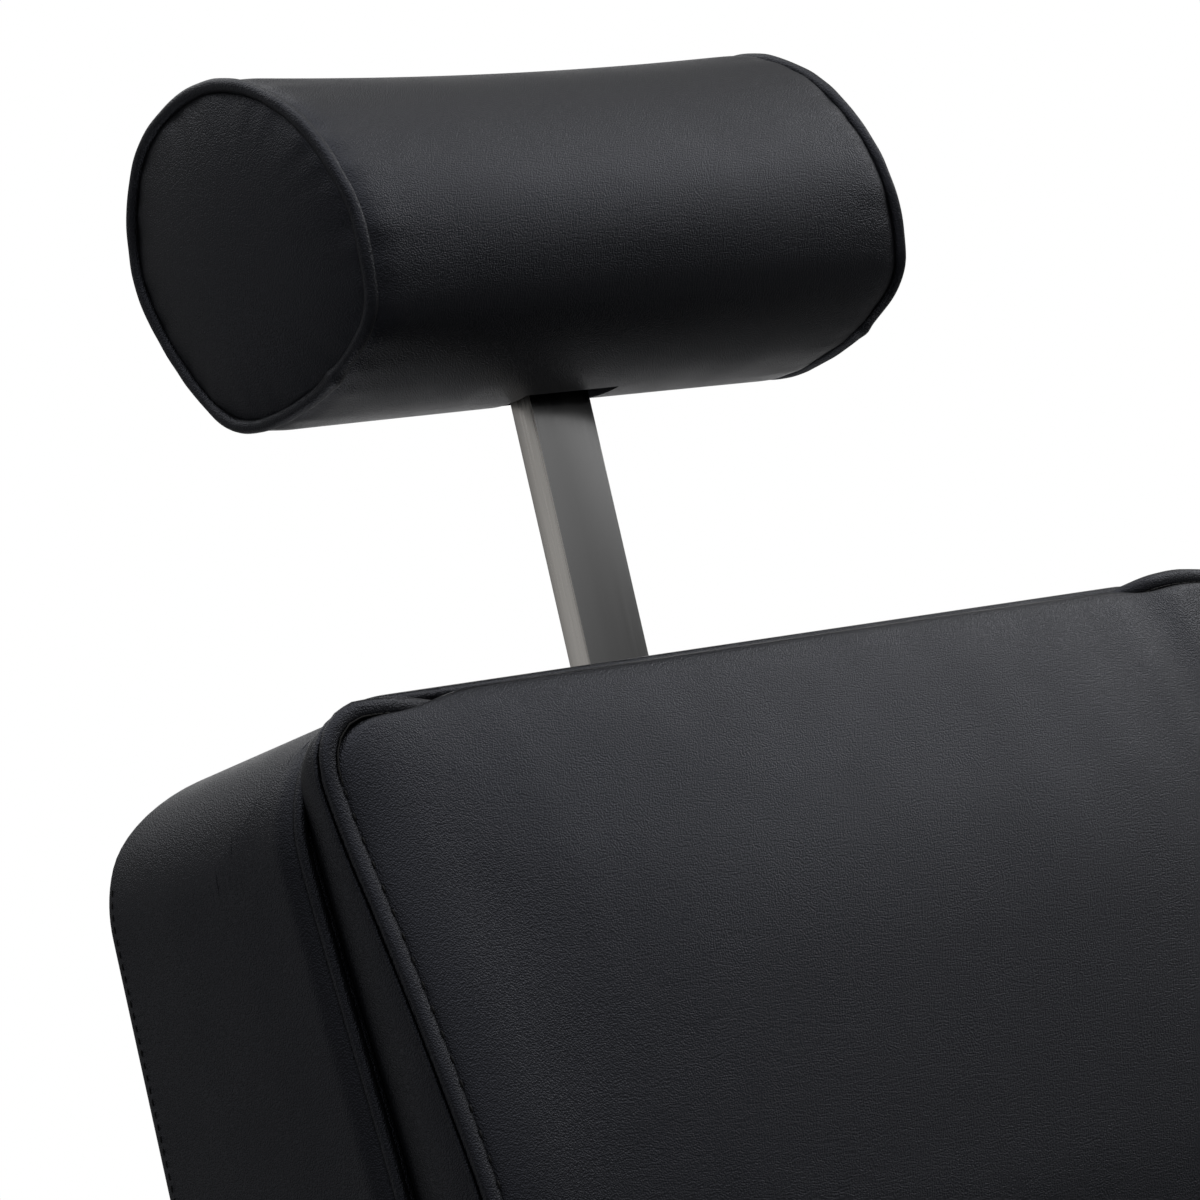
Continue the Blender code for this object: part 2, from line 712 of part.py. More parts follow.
def build_seat(frame):
    """Swivel hub, rails, plate, board and cushion of the seat."""
    bore = STUB_RADIUS + RUN
    boss = STUB_RADIUS + HUB_WALL
    flange = boss + HUB_FLANGE_WIDTH
    flange_bottom = RAIL_TOP - HUB_FLANGE_THICKNESS
    profile = [
        (0, STUB_TOP + 0.002),
        (bore, STUB_TOP + 0.002),
        (bore, WASHER_TOP + FIT),
        (boss, WASHER_TOP + FIT),
        (boss, flange_bottom),
        (flange, flange_bottom),
        (flange, RAIL_TOP),
        (0, RAIL_TOP),
    ]
    turn_profile("swivel_hub", profile[::-1], BLACK_STEEL, frame, 28)
    edges = (-RAIL_OUTER, RAIL_OUTER, SEAT_PLATE_FRONT, SEAT_PLATE_REAR)
    outline = rounded_rectangle(*edges, SEAT_PLATE_ROUND, 3)
    level_plate("seat_plate", [outline], RAIL_TOP + FIT, SEAT_PLATE_TOP, BLACK_STEEL, frame)
    half = SEAT_WIDTH / 2 - SEAT_BOARD_INSET
    edges = (-half, half, SEAT_FRONT + SEAT_BOARD_INSET, SEAT_REAR - SEAT_BOARD_INSET)
    outline = rounded_rectangle(*edges, SEAT_BOARD_ROUND, 4)
    level_plate("seat_board", [outline], SEAT_PLATE_TOP + FIT, SEAT_BOARD_TOP, WOOD, frame)
    length = SEAT_REAR - SEAT_FRONT
    middle = (0, (SEAT_REAR + SEAT_FRONT) / 2, SEAT_PAD_BOTTOM)
    sizes = (SEAT_WIDTH - 0.01, length, SEAT_PAD_THICKNESS, SEAT_CROWN)
    soft_pad("seat_cushion", *sizes, 0.012, LEATHER, frame, middle)
    for side_name, side in SIDES:
        build_rail(frame, side_name, side)


def build_rail(frame, side_name, side):
    """One hollow seat rail with its holes, and the bracket that carries the back."""
    front = SEAT_FRONT + 0.01
    rear = SEAT_REAR + RAIL_BEHIND_SEAT
    name = f"seat_rail_{side_name}"
    edges = (-RAIL_WIDTH / 2, RAIL_WIDTH / 2, -RAIL_HEIGHT / 2, RAIL_HEIGHT / 2)
    outline = rounded_rectangle(*edges, 0.003, 2)
    hollow = [edge - math.copysign(RAIL_WALL, edge) for edge in edges]
    loops = [outline, rounded_rectangle(*hollow, 0.0015, 2)]
    mesh = flat_mesh(name, loops, rear - front)
    middle = (side * (RAIL_OUTER - RAIL_WIDTH / 2), (front + rear) / 2, RAIL_MIDDLE)
    rail = add_piece(name, mesh, BLACK_STEEL, frame, middle, (math.pi / 2, 0, 0))
    outer = side * (RAIL_OUTER + 0.01)
    wall = side * (RAIL_OUTER - RAIL_WIDTH / 2)
    inner = side * (RAIL_INNER - 0.01)
    cross_hole(rail, f"foot_pin_hole_{side_name}", PIN_RADIUS + FIT, FOOT_PIVOT, inner, outer, frame)
    for place, along in (("front", ARM_FRONT), ("rear", ARM_REAR)):
        at = (along, RAIL_MIDDLE)
        hole = f"rail_arm_hole_{place}_{side_name}"
        cross_hole(rail, hole, ARM_BOLT_RADIUS + FIT, at, wall, outer, frame)
    if side < 0:
        cross_hole(rail, "rail_lever_hole", STUD_RADIUS + FIT, LEVER_PIVOT, wall, outer, frame)
    path = [(SEAT_REAR - BRACKET_OVERLAP, RAIL_MIDDLE), (rear, RAIL_MIDDLE), RECLINE_PIVOT]
    outline = strip(path, BRACKET_HALF_WIDTH)
    hole = circle(RECLINE_PIVOT, PIN_RADIUS + FIT)
    low, high = sorted((side * BRACKET_INNER, side * BRACKET_OUTER))
    side_plate(f"recline_bracket_{side_name}", [outline, hole], low, high, BLACK_STEEL, frame)
    profile = [
        (0, BRACKET_OUTER + 0.006),
        (PIN_RADIUS + 0.005, BRACKET_OUTER + 0.006),
        (PIN_RADIUS + 0.005, BRACKET_OUTER + FIT),
        (PIN_RADIUS, BRACKET_OUTER + FIT),
        (PIN_RADIUS, UPRIGHT_INNER),
        (0, UPRIGHT_INNER),
    ]
    cross_pin(f"recline_pin_{side_name}", profile, RECLINE_PIVOT, side, STEEL, frame)
    profile = [
        (0, RAIL_OUTER),
        (PIN_RADIUS, RAIL_OUTER),
        (PIN_RADIUS, RAIL_INNER - FIT),
        (PIN_RADIUS + 0.004, RAIL_INNER - FIT),
        (PIN_RADIUS + 0.004, UPRIGHT_OUTER + RUN),
        (PIN_RADIUS, UPRIGHT_OUTER + RUN),
        (PIN_RADIUS, UPRIGHT_INNER),
        (0, UPRIGHT_INNER),
    ]
    cross_pin(f"footrest_pin_{side_name}", profile, FOOT_PIVOT, side, STEEL, frame)


def build_arm(frame, side_name, side):
    """One chromed arm loop, its pad and its two bolts."""
    foot = RAIL_BOTTOM + 0.002
    corners = [(ARM_FRONT, foot), (ARM_FRONT, ARM_TOP), (ARM_REAR, ARM_TOP), (ARM_REAR, foot)]
    outline = strip(bend_path(corners, ARM_BEND), ARM_BAR_HALF_WIDTH, round_ends=False)
    holes = [circle((along, RAIL_MIDDLE), ARM_BOLT_RADIUS + FIT, 12) for along in (ARM_FRONT, ARM_REAR)]
    low, high = sorted((side * ARM_INNER, side * ARM_OUTER))
    side_plate(f"arm_frame_{side_name}", [outline, *holes], low, high, CHROME, frame)
    at = (
        side * (ARM_INNER + ARM_OUTER) / 2,
        (ARM_FRONT + ARM_REAR) / 2 - 0.01,
        ARM_TOP + ARM_BAR_HALF_WIDTH + FIT,
    )
    sizes = (ARM_PAD_WIDTH, ARM_PAD_LENGTH, ARM_PAD_THICKNESS)
    soft_pad(f"arm_pad_{side_name}", *sizes, 0.005, 0.01, LEATHER, frame, at)
    for place, along in (("front", ARM_FRONT), ("rear", ARM_REAR)):
        profile = [
            (0, ARM_OUTER + FIT + 0.005),
            (0.006, ARM_OUTER + FIT + 0.005),
            (0.0075, ARM_OUTER + FIT + 0.003),
            (0.0075, ARM_OUTER + FIT),
            (ARM_BOLT_RADIUS, ARM_OUTER + FIT),
            (ARM_BOLT_RADIUS, RAIL_OUTER - RAIL_WALL - 0.004),
            (0, RAIL_OUTER - RAIL_WALL - 0.004),
        ]
        cross_pin(f"arm_bolt_{place}_{side_name}", profile, (along, RAIL_MIDDLE), side, CHROME, frame, 12)


def build_recline_lever(frame):
    """Release lever on the sitter's right, its knob and its bolt; the frame stands on its pivot."""
    tip = (-LEVER_LENGTH, 0.012)
    outline = strip([(0, 0), (-LEVER_LENGTH * 0.55, 0), tip], LEVER_HALF_WIDTH)
    holes = [circle((0, 0), STUD_RADIUS + RUN, 12), circle(tip, 0.003 + FIT, 12)]
    outer = -(RAIL_OUTER + FIT + UPRIGHT_THICKNESS)
    inner = -(RAIL_OUTER + FIT)
    side_plate("recline_lever", [outline, *holes], outer, inner, CHROME, frame)
    profile = [
        (0, -outer + FIT + KNOB_LENGTH),
        (KNOB_RADIUS * 0.7, -outer + FIT + KNOB_LENGTH),
        (KNOB_RADIUS, -outer + FIT + KNOB_LENGTH * 0.8),
        (KNOB_RADIUS * 0.8, -outer + FIT),
        (0.003, -outer + FIT),
        (0.003, -inner + 0.001),
        (0, -inner + 0.001),
    ]
    cross_pin("lever_knob", profile, tip, -1, PLASTIC, frame, 16)


def build_lever_bolt(frame):
    """The shoulder bolt that the release lever turns on."""
    head = RAIL_OUTER + FIT + UPRIGHT_THICKNESS + RUN
    profile = [
        (0, head + 0.004),
        (STUD_RADIUS + 0.003, head + 0.004),
        (STUD_RADIUS + 0.003, head),
        (STUD_RADIUS, head),
        (STUD_RADIUS, RAIL_OUTER - RAIL_WALL - 0.003),
        (0, RAIL_OUTER - RAIL_WALL - 0.003),
    ]
    cross_pin("lever_bolt", profile, LEVER_PIVOT, -1, STEEL, frame, 12)


def crank_point(lean):
    """Where a crank pin stands in the own frame of a leaning part: (n, w)."""
    angle = lean + RECLINE_TRAVEL / 2
    return (CRANK * math.sin(angle), -CRANK * math.cos(angle))


def build_crank_bar(name, outline, stud_at, side, finish, frame):
    """A flat side bar that turns about its frame's origin and carries the link's stud."""
    hole = circle((0, 0), PIN_RADIUS + RUN)
    low, high = sorted((side * UPRIGHT_INNER, side * UPRIGHT_OUTER))
    bar = side_plate(name, [outline, hole], low, high, finish, frame)
    start = (side * (UPRIGHT_OUTER - 0.001), *stud_at)
    end = (side * LINK_INNER, *stud_at)
    stud = cylinder_mesh(f"{name}_stud", STUD_RADIUS, start, end, 14)
    fuse(bar, add_helper(f"{name}_stud", stud, frame))


def build_links(frame):
    """The two flat links from the back's cranks to the footrest's; the frame stands on the rear studs."""
    span = (FOOT_PIVOT[0] - RECLINE_PIVOT[0], FOOT_PIVOT[1] - RECLINE_PIVOT[1])
    outline = strip([(0, 0), span], 0.009)
    holes = [circle(at, STUD_RADIUS + RUN, 14) for at in ((0, 0), span)]
    for side_name, side in SIDES:
        low, high = sorted((side * LINK_INNER, side * LINK_OUTER))
        side_plate(f"link_bar_{side_name}", [outline, *holes], low, high, BLACK_STEEL, frame)


def gas_plate():
    """The planes in x of the plates that carry the gas spring's studs."""
    outer = GAS_X - GAS_EYE_HALF_WIDTH - 0.0055
    return (outer - GAS_CRANK_THICKNESS, outer)


def build_gas_bracket(frame):
    """The bracket and stud under the seat plate that hold the gas spring's front eye."""
    across = gas_plate()
    y, z = GAS_PIVOT
    outline = [(y - 0.014, RAIL_TOP), (y - 0.014, z - 0.006), (y - 0.007, z - 0.013)]
    outline += [(y + 0.007, z - 0.013), (y + 0.014, z - 0.006), (y + 0.014, RAIL_TOP)]
    bracket = side_plate("gas_bracket", [outline], *across, BLACK_STEEL, frame)
    start = (across[1] - 0.001, y, z)
    end = (GAS_X + GAS_EYE_HALF_WIDTH + 0.002, y, z)
    stud = cylinder_mesh("gas_bracket_stud", GAS_STUD_RADIUS, start, end, 14)
    fuse(bracket, add_helper("gas_bracket_stud", stud, frame))


def gas_span():
    """Length of the gas spring at rest and its angle above level."""
    along = RECLINE_PIVOT[0] - GAS_PIVOT[0]
    up = RECLINE_PIVOT[1] - GAS_CRANK - GAS_PIVOT[1]
    return math.hypot(along, up), math.atan2(up, along)


def gas_stroke():
    """How far the rod has gone in when the back is right down."""
    along = RECLINE_PIVOT[0] - GAS_CRANK * math.sin(RECLINE_TRAVEL) - GAS_PIVOT[0]
    up = RECLINE_PIVOT[1] - GAS_CRANK * math.cos(RECLINE_TRAVEL) - GAS_PIVOT[1]
    return gas_span()[0] - math.hypot(along, up)


def build_gas_spring(cylinder_frame, rod_frame):
    """Cylinder and rod of the gas spring; both frames stand on the front eye and lie along the spring."""
    bore = ROD_RADIUS + RUN
    rod_start = GAS_LENGTH - ROD_INSERTED
    bore_bottom = rod_start - gas_stroke() - 0.004
    profile = [
        (0, bore_bottom),
        (bore, bore_bottom),
        (bore, GAS_LENGTH),
        (GAS_RADIUS - 0.002, GAS_LENGTH),
        (GAS_RADIUS, GAS_LENGTH - 0.003),
        (GAS_RADIUS, 0.007),
        (0, 0.007),
    ]
    place = ((GAS_X, 0, 0), (-math.pi / 2, 0, 0))
    cylinder = turn_profile("gas_cylinder", profile, BLACK_STEEL, cylinder_frame, 18, False, *place)
    start = (GAS_X - GAS_EYE_HALF_WIDTH, 0, 0)
    eye = cylinder_mesh("gas_eye", GAS_RADIUS, start, (GAS_X + GAS_EYE_HALF_WIDTH, 0, 0), 18)
    fuse(cylinder, add_helper("gas_eye", eye, cylinder_frame))
    low, high = GAS_X - 0.02, GAS_X + 0.02
    cross_hole(cylinder, "gas_eye_hole", GAS_STUD_RADIUS + RUN, (0, 0), low, high, cylinder_frame)
    length = gas_span()[0]
    start = (GAS_X, rod_start, 0)
    end = (GAS_X, length - ROD_EYE_RADIUS + 0.002, 0)
    rod = add_piece("gas_rod", cylinder_mesh("gas_rod", ROD_RADIUS, start, end, 14), CHROME, rod_frame)
    start = (GAS_X - GAS_EYE_HALF_WIDTH + 0.001, length, 0)
    end = (GAS_X + GAS_EYE_HALF_WIDTH - 0.001, length, 0)
    fuse(rod, add_helper("rod_eye", cylinder_mesh("rod_eye", ROD_EYE_RADIUS, start, end, 18), rod_frame))
    cross_hole(rod, "rod_eye_hole", ROD_EYE_BORE, (length, 0), low, high, rod_frame, 18)


def build_torsion_tube(frame):
    """The tube that joins the uprights at the pivot, with the gas spring's crank and stud."""
    end = UPRIGHT_INNER - FIT
    profile = [
        (TUBE_RADIUS, end),
        (TUBE_RADIUS, -end),
        (TUBE_RADIUS - 0.002, -end),
        (TUBE_RADIUS - 0.002, end),
    ]
    lying = (0, math.pi / 2, 0)
    tube = turn_profile("torsion_tube", profile, BLACK_STEEL, frame, 20, True, (0, 0, 0), lying)
    crank = (-GAS_CRANK * -math.sin(RECLINE_REST), -GAS_CRANK * math.cos(RECLINE_REST))
    mesh = flat_mesh("gas_crank", [strip([(0, 0), crank], GAS_CRANK_HALF_WIDTH)], GAS_CRANK_THICKNESS)
    turned = (math.pi / 2, 0, math.pi / 2)
    low, high = gas_plate()
    fuse(tube, add_helper("gas_crank", mesh, frame, ((low + high) / 2, 0, 0), turned))
    start = (high - 0.001, *crank)
    end = (GAS_X + GAS_EYE_HALF_WIDTH + 0.0015, *crank)
    stud = cylinder_mesh("gas_crank_stud", GAS_STUD_RADIUS, start, end, 14)
    fuse(tube, add_helper("gas_crank_stud", stud, frame))


def casing_section(x, inset):
    """The casing's side outline at x, drawn in by an inset: (x, n, w) points."""
    front = CASING_FRONT
    rear = CASING_REAR - inset
    low = BACK_BOTTOM + inset
    top = BACK_TOP - inset
    corners = [
        (front, low, 0.004),
        (rear, low, max(0.025 - inset, 0.004)),
        (rear, top, max(BACK_TOP_ROUND - inset, 0.004)),
        (front, top, 0.006),
    ]
    return [(x, n, w) for n, w in rounded_polygon(corners, 5)]


def build_casing(frame):
    """The padded outer shell of the back, hollow behind the board and open to the front."""
    half = BACK_WIDTH / 2
    insets = [(0, 1.0), (0.12, 0.55), (0.45, 0.16), (1.0, 0.0)]
    outward = [(half - BACK_SIDE_ROUND * t, BACK_SIDE_ROUND * share) for t, share in insets]
    sections = [casing_section(-x, inset) for x, inset in outward]
    sections += [casing_section(x, inset) for x, inset in outward[::-1]]
    casing = add_piece("back_casing", loft_mesh("back_casing", sections), LEATHER, frame)
    inner = half - BACK_SIDE_WALL
    low = (-inner, CASING_FRONT - 0.02, BACK_PAD_BOTTOM + BACK_WALL)
    high = (inner, CASING_REAR - BACK_WALL, BACK_TOP - BACK_TOP_WALL)
    cut(casing, add_helper("casing_hollow", box_mesh("casing_hollow", low, high), frame))
    for side_name, side in SIDES:
        across = sorted((side * (UPRIGHT_INNER - RUN), side * (UPRIGHT_OUTER + RUN)))
        deep = UPRIGHT_HALF_WIDTH + RUN
        low = (across[0], -deep, BACK_BOTTOM - 0.02)
        high = (across[1], deep, BACK_PAD_BOTTOM + 0.03)
        name = f"upright_slot_{side_name}"
        cut(casing, add_helper(name, box_mesh(name, low, high), frame))
    across = BAR_WIDTH / 2 + RUN + SOCKET_WALL + FIT
    deep = BAR_THICKNESS / 2 + RUN + SOCKET_WALL + FIT
    low = (-across, BAR_N - deep, BACK_TOP - 0.06)
    high = (across, BAR_N + deep, BACK_TOP + 0.02)
    cut(casing, add_helper("socket_slot", box_mesh("socket_slot", low, high), frame))


def ease(start, end, value):
    """A smooth step from 0 at start to 1 at end."""
    share = min(1.0, max(0.0, (value - start) / (end - start)))
    return share * share * (3 - 2 * share)


def back_pad_depth(along):
    """Thickness of the back cushion from its bottom (-1) to its top (1), with its lumbar bow."""
    height = (BACK_PAD_TOP + BACK_PAD_BOTTOM + along * (BACK_PAD_TOP - BACK_PAD_BOTTOM)) / 2
    bow = ease(BACK_BOTTOM, LUMBAR_LOW, height) * ease(LUMBAR_END, LUMBAR_HIGH, height)
    swell = ease(1, 0.4, along) * (BACK_PAD_THICKNESS - BACK_PAD_TOP_THICKNESS)
    return BACK_PAD_TOP_THICKNESS + swell + bow * LUMBAR_BOW


def build_back(frame):
    """Uprights, torsion tube, board, casing, cushion and headrest socket of the back."""
    stud_at = crank_point(RECLINE_REST)
    outline = strip([stud_at, (0, 0), (0, UPRIGHT_TOP)], UPRIGHT_HALF_WIDTH)
    for side_name, side in SIDES:
        build_crank_bar(f"back_upright_{side_name}", outline, stud_at, side, BLACK_STEEL, frame)
    build_torsion_tube(frame)
    half = BACK_WIDTH / 2 - BACK_SIDE_WALL - BACK_BOARD_GAP
    low = BACK_PAD_BOTTOM + BACK_WALL + BACK_BOARD_GAP
    high = BACK_TOP - BACK_TOP_WALL - BACK_BOARD_GAP
    outline = rounded_rectangle(-half, half, low, high, 0.006, 3)
    rear = -(UPRIGHT_HALF_WIDTH + FIT)
    front_plate("back_board", [outline], CASING_FRONT, rear, WOOD, frame)
    build_casing(frame)
    at = (0, CASING_FRONT - FIT, (BACK_PAD_TOP + BACK_PAD_BOTTOM) / 2)
    sizes = (BACK_WIDTH - 0.004, BACK_PAD_TOP - BACK_PAD_BOTTOM, back_pad_depth)
    upright = (math.pi / 2, 0, 0)
    soft_pad("back_cushion", *sizes, BACK_PAD_CROWN, 0.012, LEATHER, frame, at, upright, 6)
    across = BAR_WIDTH / 2 + RUN
    deep = BAR_THICKNESS / 2 + RUN
    outer = (-across - SOCKET_WALL, across + SOCKET_WALL, -deep - SOCKET_WALL, deep + SOCKET_WALL)
    loops = [rounded_rectangle(*outer, 0.003, 2), rounded_rectangle(-across, across, -deep, deep, 0.002, 2)]
    mesh = flat_mesh("bar_socket", loops, SOCKET_LENGTH)
    middle = (0, BAR_N, BACK_TOP - 0.004 - SOCKET_LENGTH / 2)
    add_piece("bar_socket", mesh, CHROME, frame, middle)


def build_headrest_bar(frame):
    """The flat chromed bar and its tilt pin; the frame stands on the bar's axis at the tilt pin."""
    across = BAR_WIDTH / 2
    deep = BAR_THICKNESS / 2
    top = deep
    bottom = BACK_TOP - BAR_INSERTED - TILT_HEIGHT
    outline = rounded_rectangle(-across, across, -deep, deep, 0.002, 3)
    mesh = flat_mesh("headrest_bar", [outline], top - bottom)
    bar = add_piece("headrest_bar", mesh, CHROME, frame, (0, 0, (top + bottom) / 2))
    reach = across + 0.02
    cross_hole(bar, "tilt_pin_hole", TILT_PIN_RADIUS + RUN, (0, 0), -reach, reach, frame)
    end = across + 0.0075
    pin = cylinder_mesh("tilt_pin", TILT_PIN_RADIUS, (-end, 0, 0), (end, 0, 0), 14)
    add_piece("tilt_pin", pin, STEEL, frame)


def build_headrest(frame):
    """The bracket and the bolster; the frame stands on the tilt pin."""
    inner = BAR_WIDTH / 2 + 0.001
    outer = inner + 0.0035
    low = -0.008
    under = BAR_THICKNESS / 2 + 0.0075
    over = under + 0.003
    outline = [(-outer, low), (-inner, low), (-inner, under), (inner, under)]
    outline += [(inner, low), (outer, low), (outer, over), (-outer, over)]
    bracket = front_plate("headrest_bracket", [outline], -0.0095, 0.0095, BLACK_STEEL, frame)
    reach = outer + 0.01
    cross_hole(bracket, "bracket_pin_hole", TILT_PIN_RADIUS + RUN, (0, 0), -reach, reach, frame)
    middle = PAD_MIDDLE - TILT_HEIGHT
    section = hull(PAD_ROUNDS)
    sections = []
    half = HEADREST_LENGTH / 2
    for share, size, drop in ((1.02, 0.8, 0), (1, 0.97, 0), (0.96, 1, 0), (0.5, 1, 0.7), (0, 1, 1)):
        for end in (-1, 1) if share else (1,):
            points = []
            for n, w in section:
                up = w * size - (HEADREST_SAG * drop if w > 0 else 0) * w / 0.069
                points.append((end * share * half, n * size - BAR_BEHIND_PAD, up + middle))
            sections.append(points)
    sections.sort(key=lambda points: points[0][0])
    pad = add_piece("headrest_pad", loft_mesh("headrest_pad", sections), LEATHER, frame)
    wide = BAR_WIDTH / 2 + 0.0085
    deep = 0.0145
    low = (-wide, -deep, -TILT_ABOVE_BASE - 0.03)
    high = (wide, deep, over + FIT)
    cut(pad, add_helper("pad_pocket", box_mesh("pad_pocket", low, high), frame))


def bell_crank(stud_at):
    """Outline of a footrest bar: a gusset from the pivot to the stud, then a straight leg down."""
    knee = -0.4 * FOOT_LENGTH
    rounds = [(0, 0, FOOT_BAR_HALF_WIDTH), (*stud_at, STUD_RADIUS + 0.005), (0, knee, FOOT_BAR_HALF_WIDTH)]
    drop = FOOT_LENGTH + knee
    return [(n, w - drop if w < knee + 0.000001 else w) for n, w in hull(rounds)]


def build_footrest(frame):
    """Side bars, cross tube, calf board and pad, foot plate and mat; n runs rearward and w up the bars."""
    stud_at = crank_point(FOOT_LEAN)
    outline = bell_crank(stud_at)
    for side_name, side in SIDES:
        build_crank_bar(f"footrest_bar_{side_name}", outline, stud_at, side, CHROME, frame)
    end = UPRIGHT_INNER - FIT
    profile = [
        (TUBE_RADIUS, end),
        (TUBE_RADIUS, -end),
        (TUBE_RADIUS - 0.002, -end),
        (TUBE_RADIUS - 0.002, end),
    ]
    lying = (0, math.pi / 2, 0)
    turn_profile("footrest_tube", profile, CHROME, frame, 20, True, (0, 0, -FOOT_LENGTH), lying)
    rear = -(FOOT_BAR_HALF_WIDTH + FIT)
    front = rear - CALF_BOARD_THICKNESS
    half = UPRIGHT_OUTER
    top = -0.035
    outline = rounded_rectangle(-half, half, top - CALF_PAD_HEIGHT + 0.01, top, 0.015, 3)
    front_plate("calf_board", [outline], front, rear, WOOD, frame)
    at = (0, front - FIT, top - CALF_PAD_HEIGHT / 2 + 0.005)
    sizes = (CALF_PAD_WIDTH, CALF_PAD_HEIGHT, CALF_PAD_THICKNESS)
    soft_pad("calf_pad", *sizes, 0.008, 0.012, LEATHER, frame, at, (math.pi / 2, 0, 0))
    level = TUBE_RADIUS + FIT + FOOT_PLATE_THICKNESS / 2 - FOOT_LENGTH
    path = [(TUBE_RADIUS, level), (-FOOT_PLATE_LENGTH + 0.015, level), (-FOOT_PLATE_LENGTH, level + 0.01)]
    outline = strip(path, FOOT_PLATE_THICKNESS / 2, round_ends=False)
    half = FOOT_PLATE_WIDTH / 2
    side_plate("foot_plate", [outline], -half, half, CHROME, frame)
    low = level + FOOT_PLATE_THICKNESS / 2 + FIT
    outline = rounded_rectangle(-half + 0.01, half - 0.01, -FOOT_PLATE_LENGTH + 0.022, 0.006, 0.008, 3)
    level_plate("foot_mat", [outline], low, low + FOOT_MAT_THICKNESS, RUBBER, frame)


def main():
    """Builds the chair body by body."""
    base = make_frame("base_frame")
    build_base(base)
    build_pump(base)
    build_pedal(make_frame("pedal_frame", base, (PEDAL_PIVOT_X, 0, PEDAL_PIVOT_HEIGHT)))
    build_plunger(make_frame("plunger_frame", base))
    lift = make_frame("lift_frame", base)
    build_lift(lift)
    seat = make_frame("seat_frame", lift)
    build_seat(seat)
    for side_name, side in SIDES:
        build_arm(seat, side_name, side)
    build_gas_bracket(seat)
    build_lever_bolt(seat)
    build_recline_lever(make_frame("lever_frame", seat, (0, *LEVER_PIVOT)))
    back = make_frame("back_frame", seat, (0, *RECLINE_PIVOT), RECLINE_REST)
    build_back(back)
    crank_y, crank_z = crank_point(0)
    rear_stud = (0, RECLINE_PIVOT[0] + crank_y, RECLINE_PIVOT[1] + crank_z)
    build_links(make_frame("link_frame", seat, rear_stud))
    build_footrest(make_frame("footrest_frame", seat, (0, *FOOT_PIVOT), FOOT_LEAN))
    lean = -gas_span()[1]
    cylinder = make_frame("gas_cylinder_frame", seat, (0, *GAS_PIVOT), lean)
    build_gas_spring(cylinder, make_frame("gas_rod_frame", cylinder))
    bar = make_frame("headrest_bar_frame", back, (0, BAR_N, TILT_HEIGHT))
    build_headrest_bar(bar)
    build_headrest(make_frame("headrest_frame", bar))


main()
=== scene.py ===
"""Looks of a hydraulic barber chair: upholstery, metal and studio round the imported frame.

Sizes are metres in the chair's own frame: the floor is z = 0, the column is the Z axis and the chair
faces -Y. A piece that leans is laid out in a place of its own: a across, b along and c out of it.
"""

import json
import logging
import math
from dataclasses import dataclass
from enum import Enum
from typing import Callable, Optional, Sequence

import bpy
import numpy as np
from mathutils import Matrix, Vector

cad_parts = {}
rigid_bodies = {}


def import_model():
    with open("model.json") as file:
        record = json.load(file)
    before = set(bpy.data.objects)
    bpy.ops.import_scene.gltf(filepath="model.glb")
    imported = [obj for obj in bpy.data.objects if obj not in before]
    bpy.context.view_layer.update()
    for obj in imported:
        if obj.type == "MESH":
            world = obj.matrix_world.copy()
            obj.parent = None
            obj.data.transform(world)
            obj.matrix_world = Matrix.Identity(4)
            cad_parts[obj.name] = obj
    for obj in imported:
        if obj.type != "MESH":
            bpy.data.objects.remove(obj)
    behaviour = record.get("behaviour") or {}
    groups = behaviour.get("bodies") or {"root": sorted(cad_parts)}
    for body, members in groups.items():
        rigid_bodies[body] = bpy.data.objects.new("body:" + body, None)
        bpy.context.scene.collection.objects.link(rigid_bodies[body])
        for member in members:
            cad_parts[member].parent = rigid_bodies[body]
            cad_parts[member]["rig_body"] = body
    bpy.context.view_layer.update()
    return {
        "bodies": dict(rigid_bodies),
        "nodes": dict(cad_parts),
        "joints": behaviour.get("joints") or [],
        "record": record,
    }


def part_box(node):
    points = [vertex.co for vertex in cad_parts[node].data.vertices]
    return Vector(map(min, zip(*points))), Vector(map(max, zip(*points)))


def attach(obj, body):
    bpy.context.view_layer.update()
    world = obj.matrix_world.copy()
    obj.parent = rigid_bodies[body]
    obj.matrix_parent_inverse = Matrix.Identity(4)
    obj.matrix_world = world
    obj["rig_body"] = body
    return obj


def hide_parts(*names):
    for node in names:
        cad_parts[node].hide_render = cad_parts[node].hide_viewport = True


Object = bpy.types.Object
Material = bpy.types.Material
Socket = bpy.types.NodeSocket
Pair = tuple[float, float]
Triple = tuple[float, float, float]

LOG = logging.getLogger("barber_chair")
SIDES = {-1: "right", 1: "left"}


class Body(str, Enum):
    """The moving bodies that pieces ride on."""

    BASE = "base"
    PEDAL = "pedal"
    PLUNGER = "plunger"
    LIFT = "lift"
    SEAT = "seat"
    RELEASE = "release"
    BACK = "back"
    LINKS = "links"
    FOOTREST = "footrest"
    GAS_CYLINDER = "gas_cylinder"
    GAS_ROD = "gas_rod"
    HEADREST_BAR = "headrest_bar"
    HEADREST = "headrest"


class Slot(str, Enum):
    """Material slots of the record."""

    LEATHER = "leather"
    CHROME = "chrome"
    STEEL = "steel"
    BLACK_STEEL = "black_steel"
    RUBBER = "rubber"
    PLYWOOD = "plywood"
    PLASTIC = "plastic"


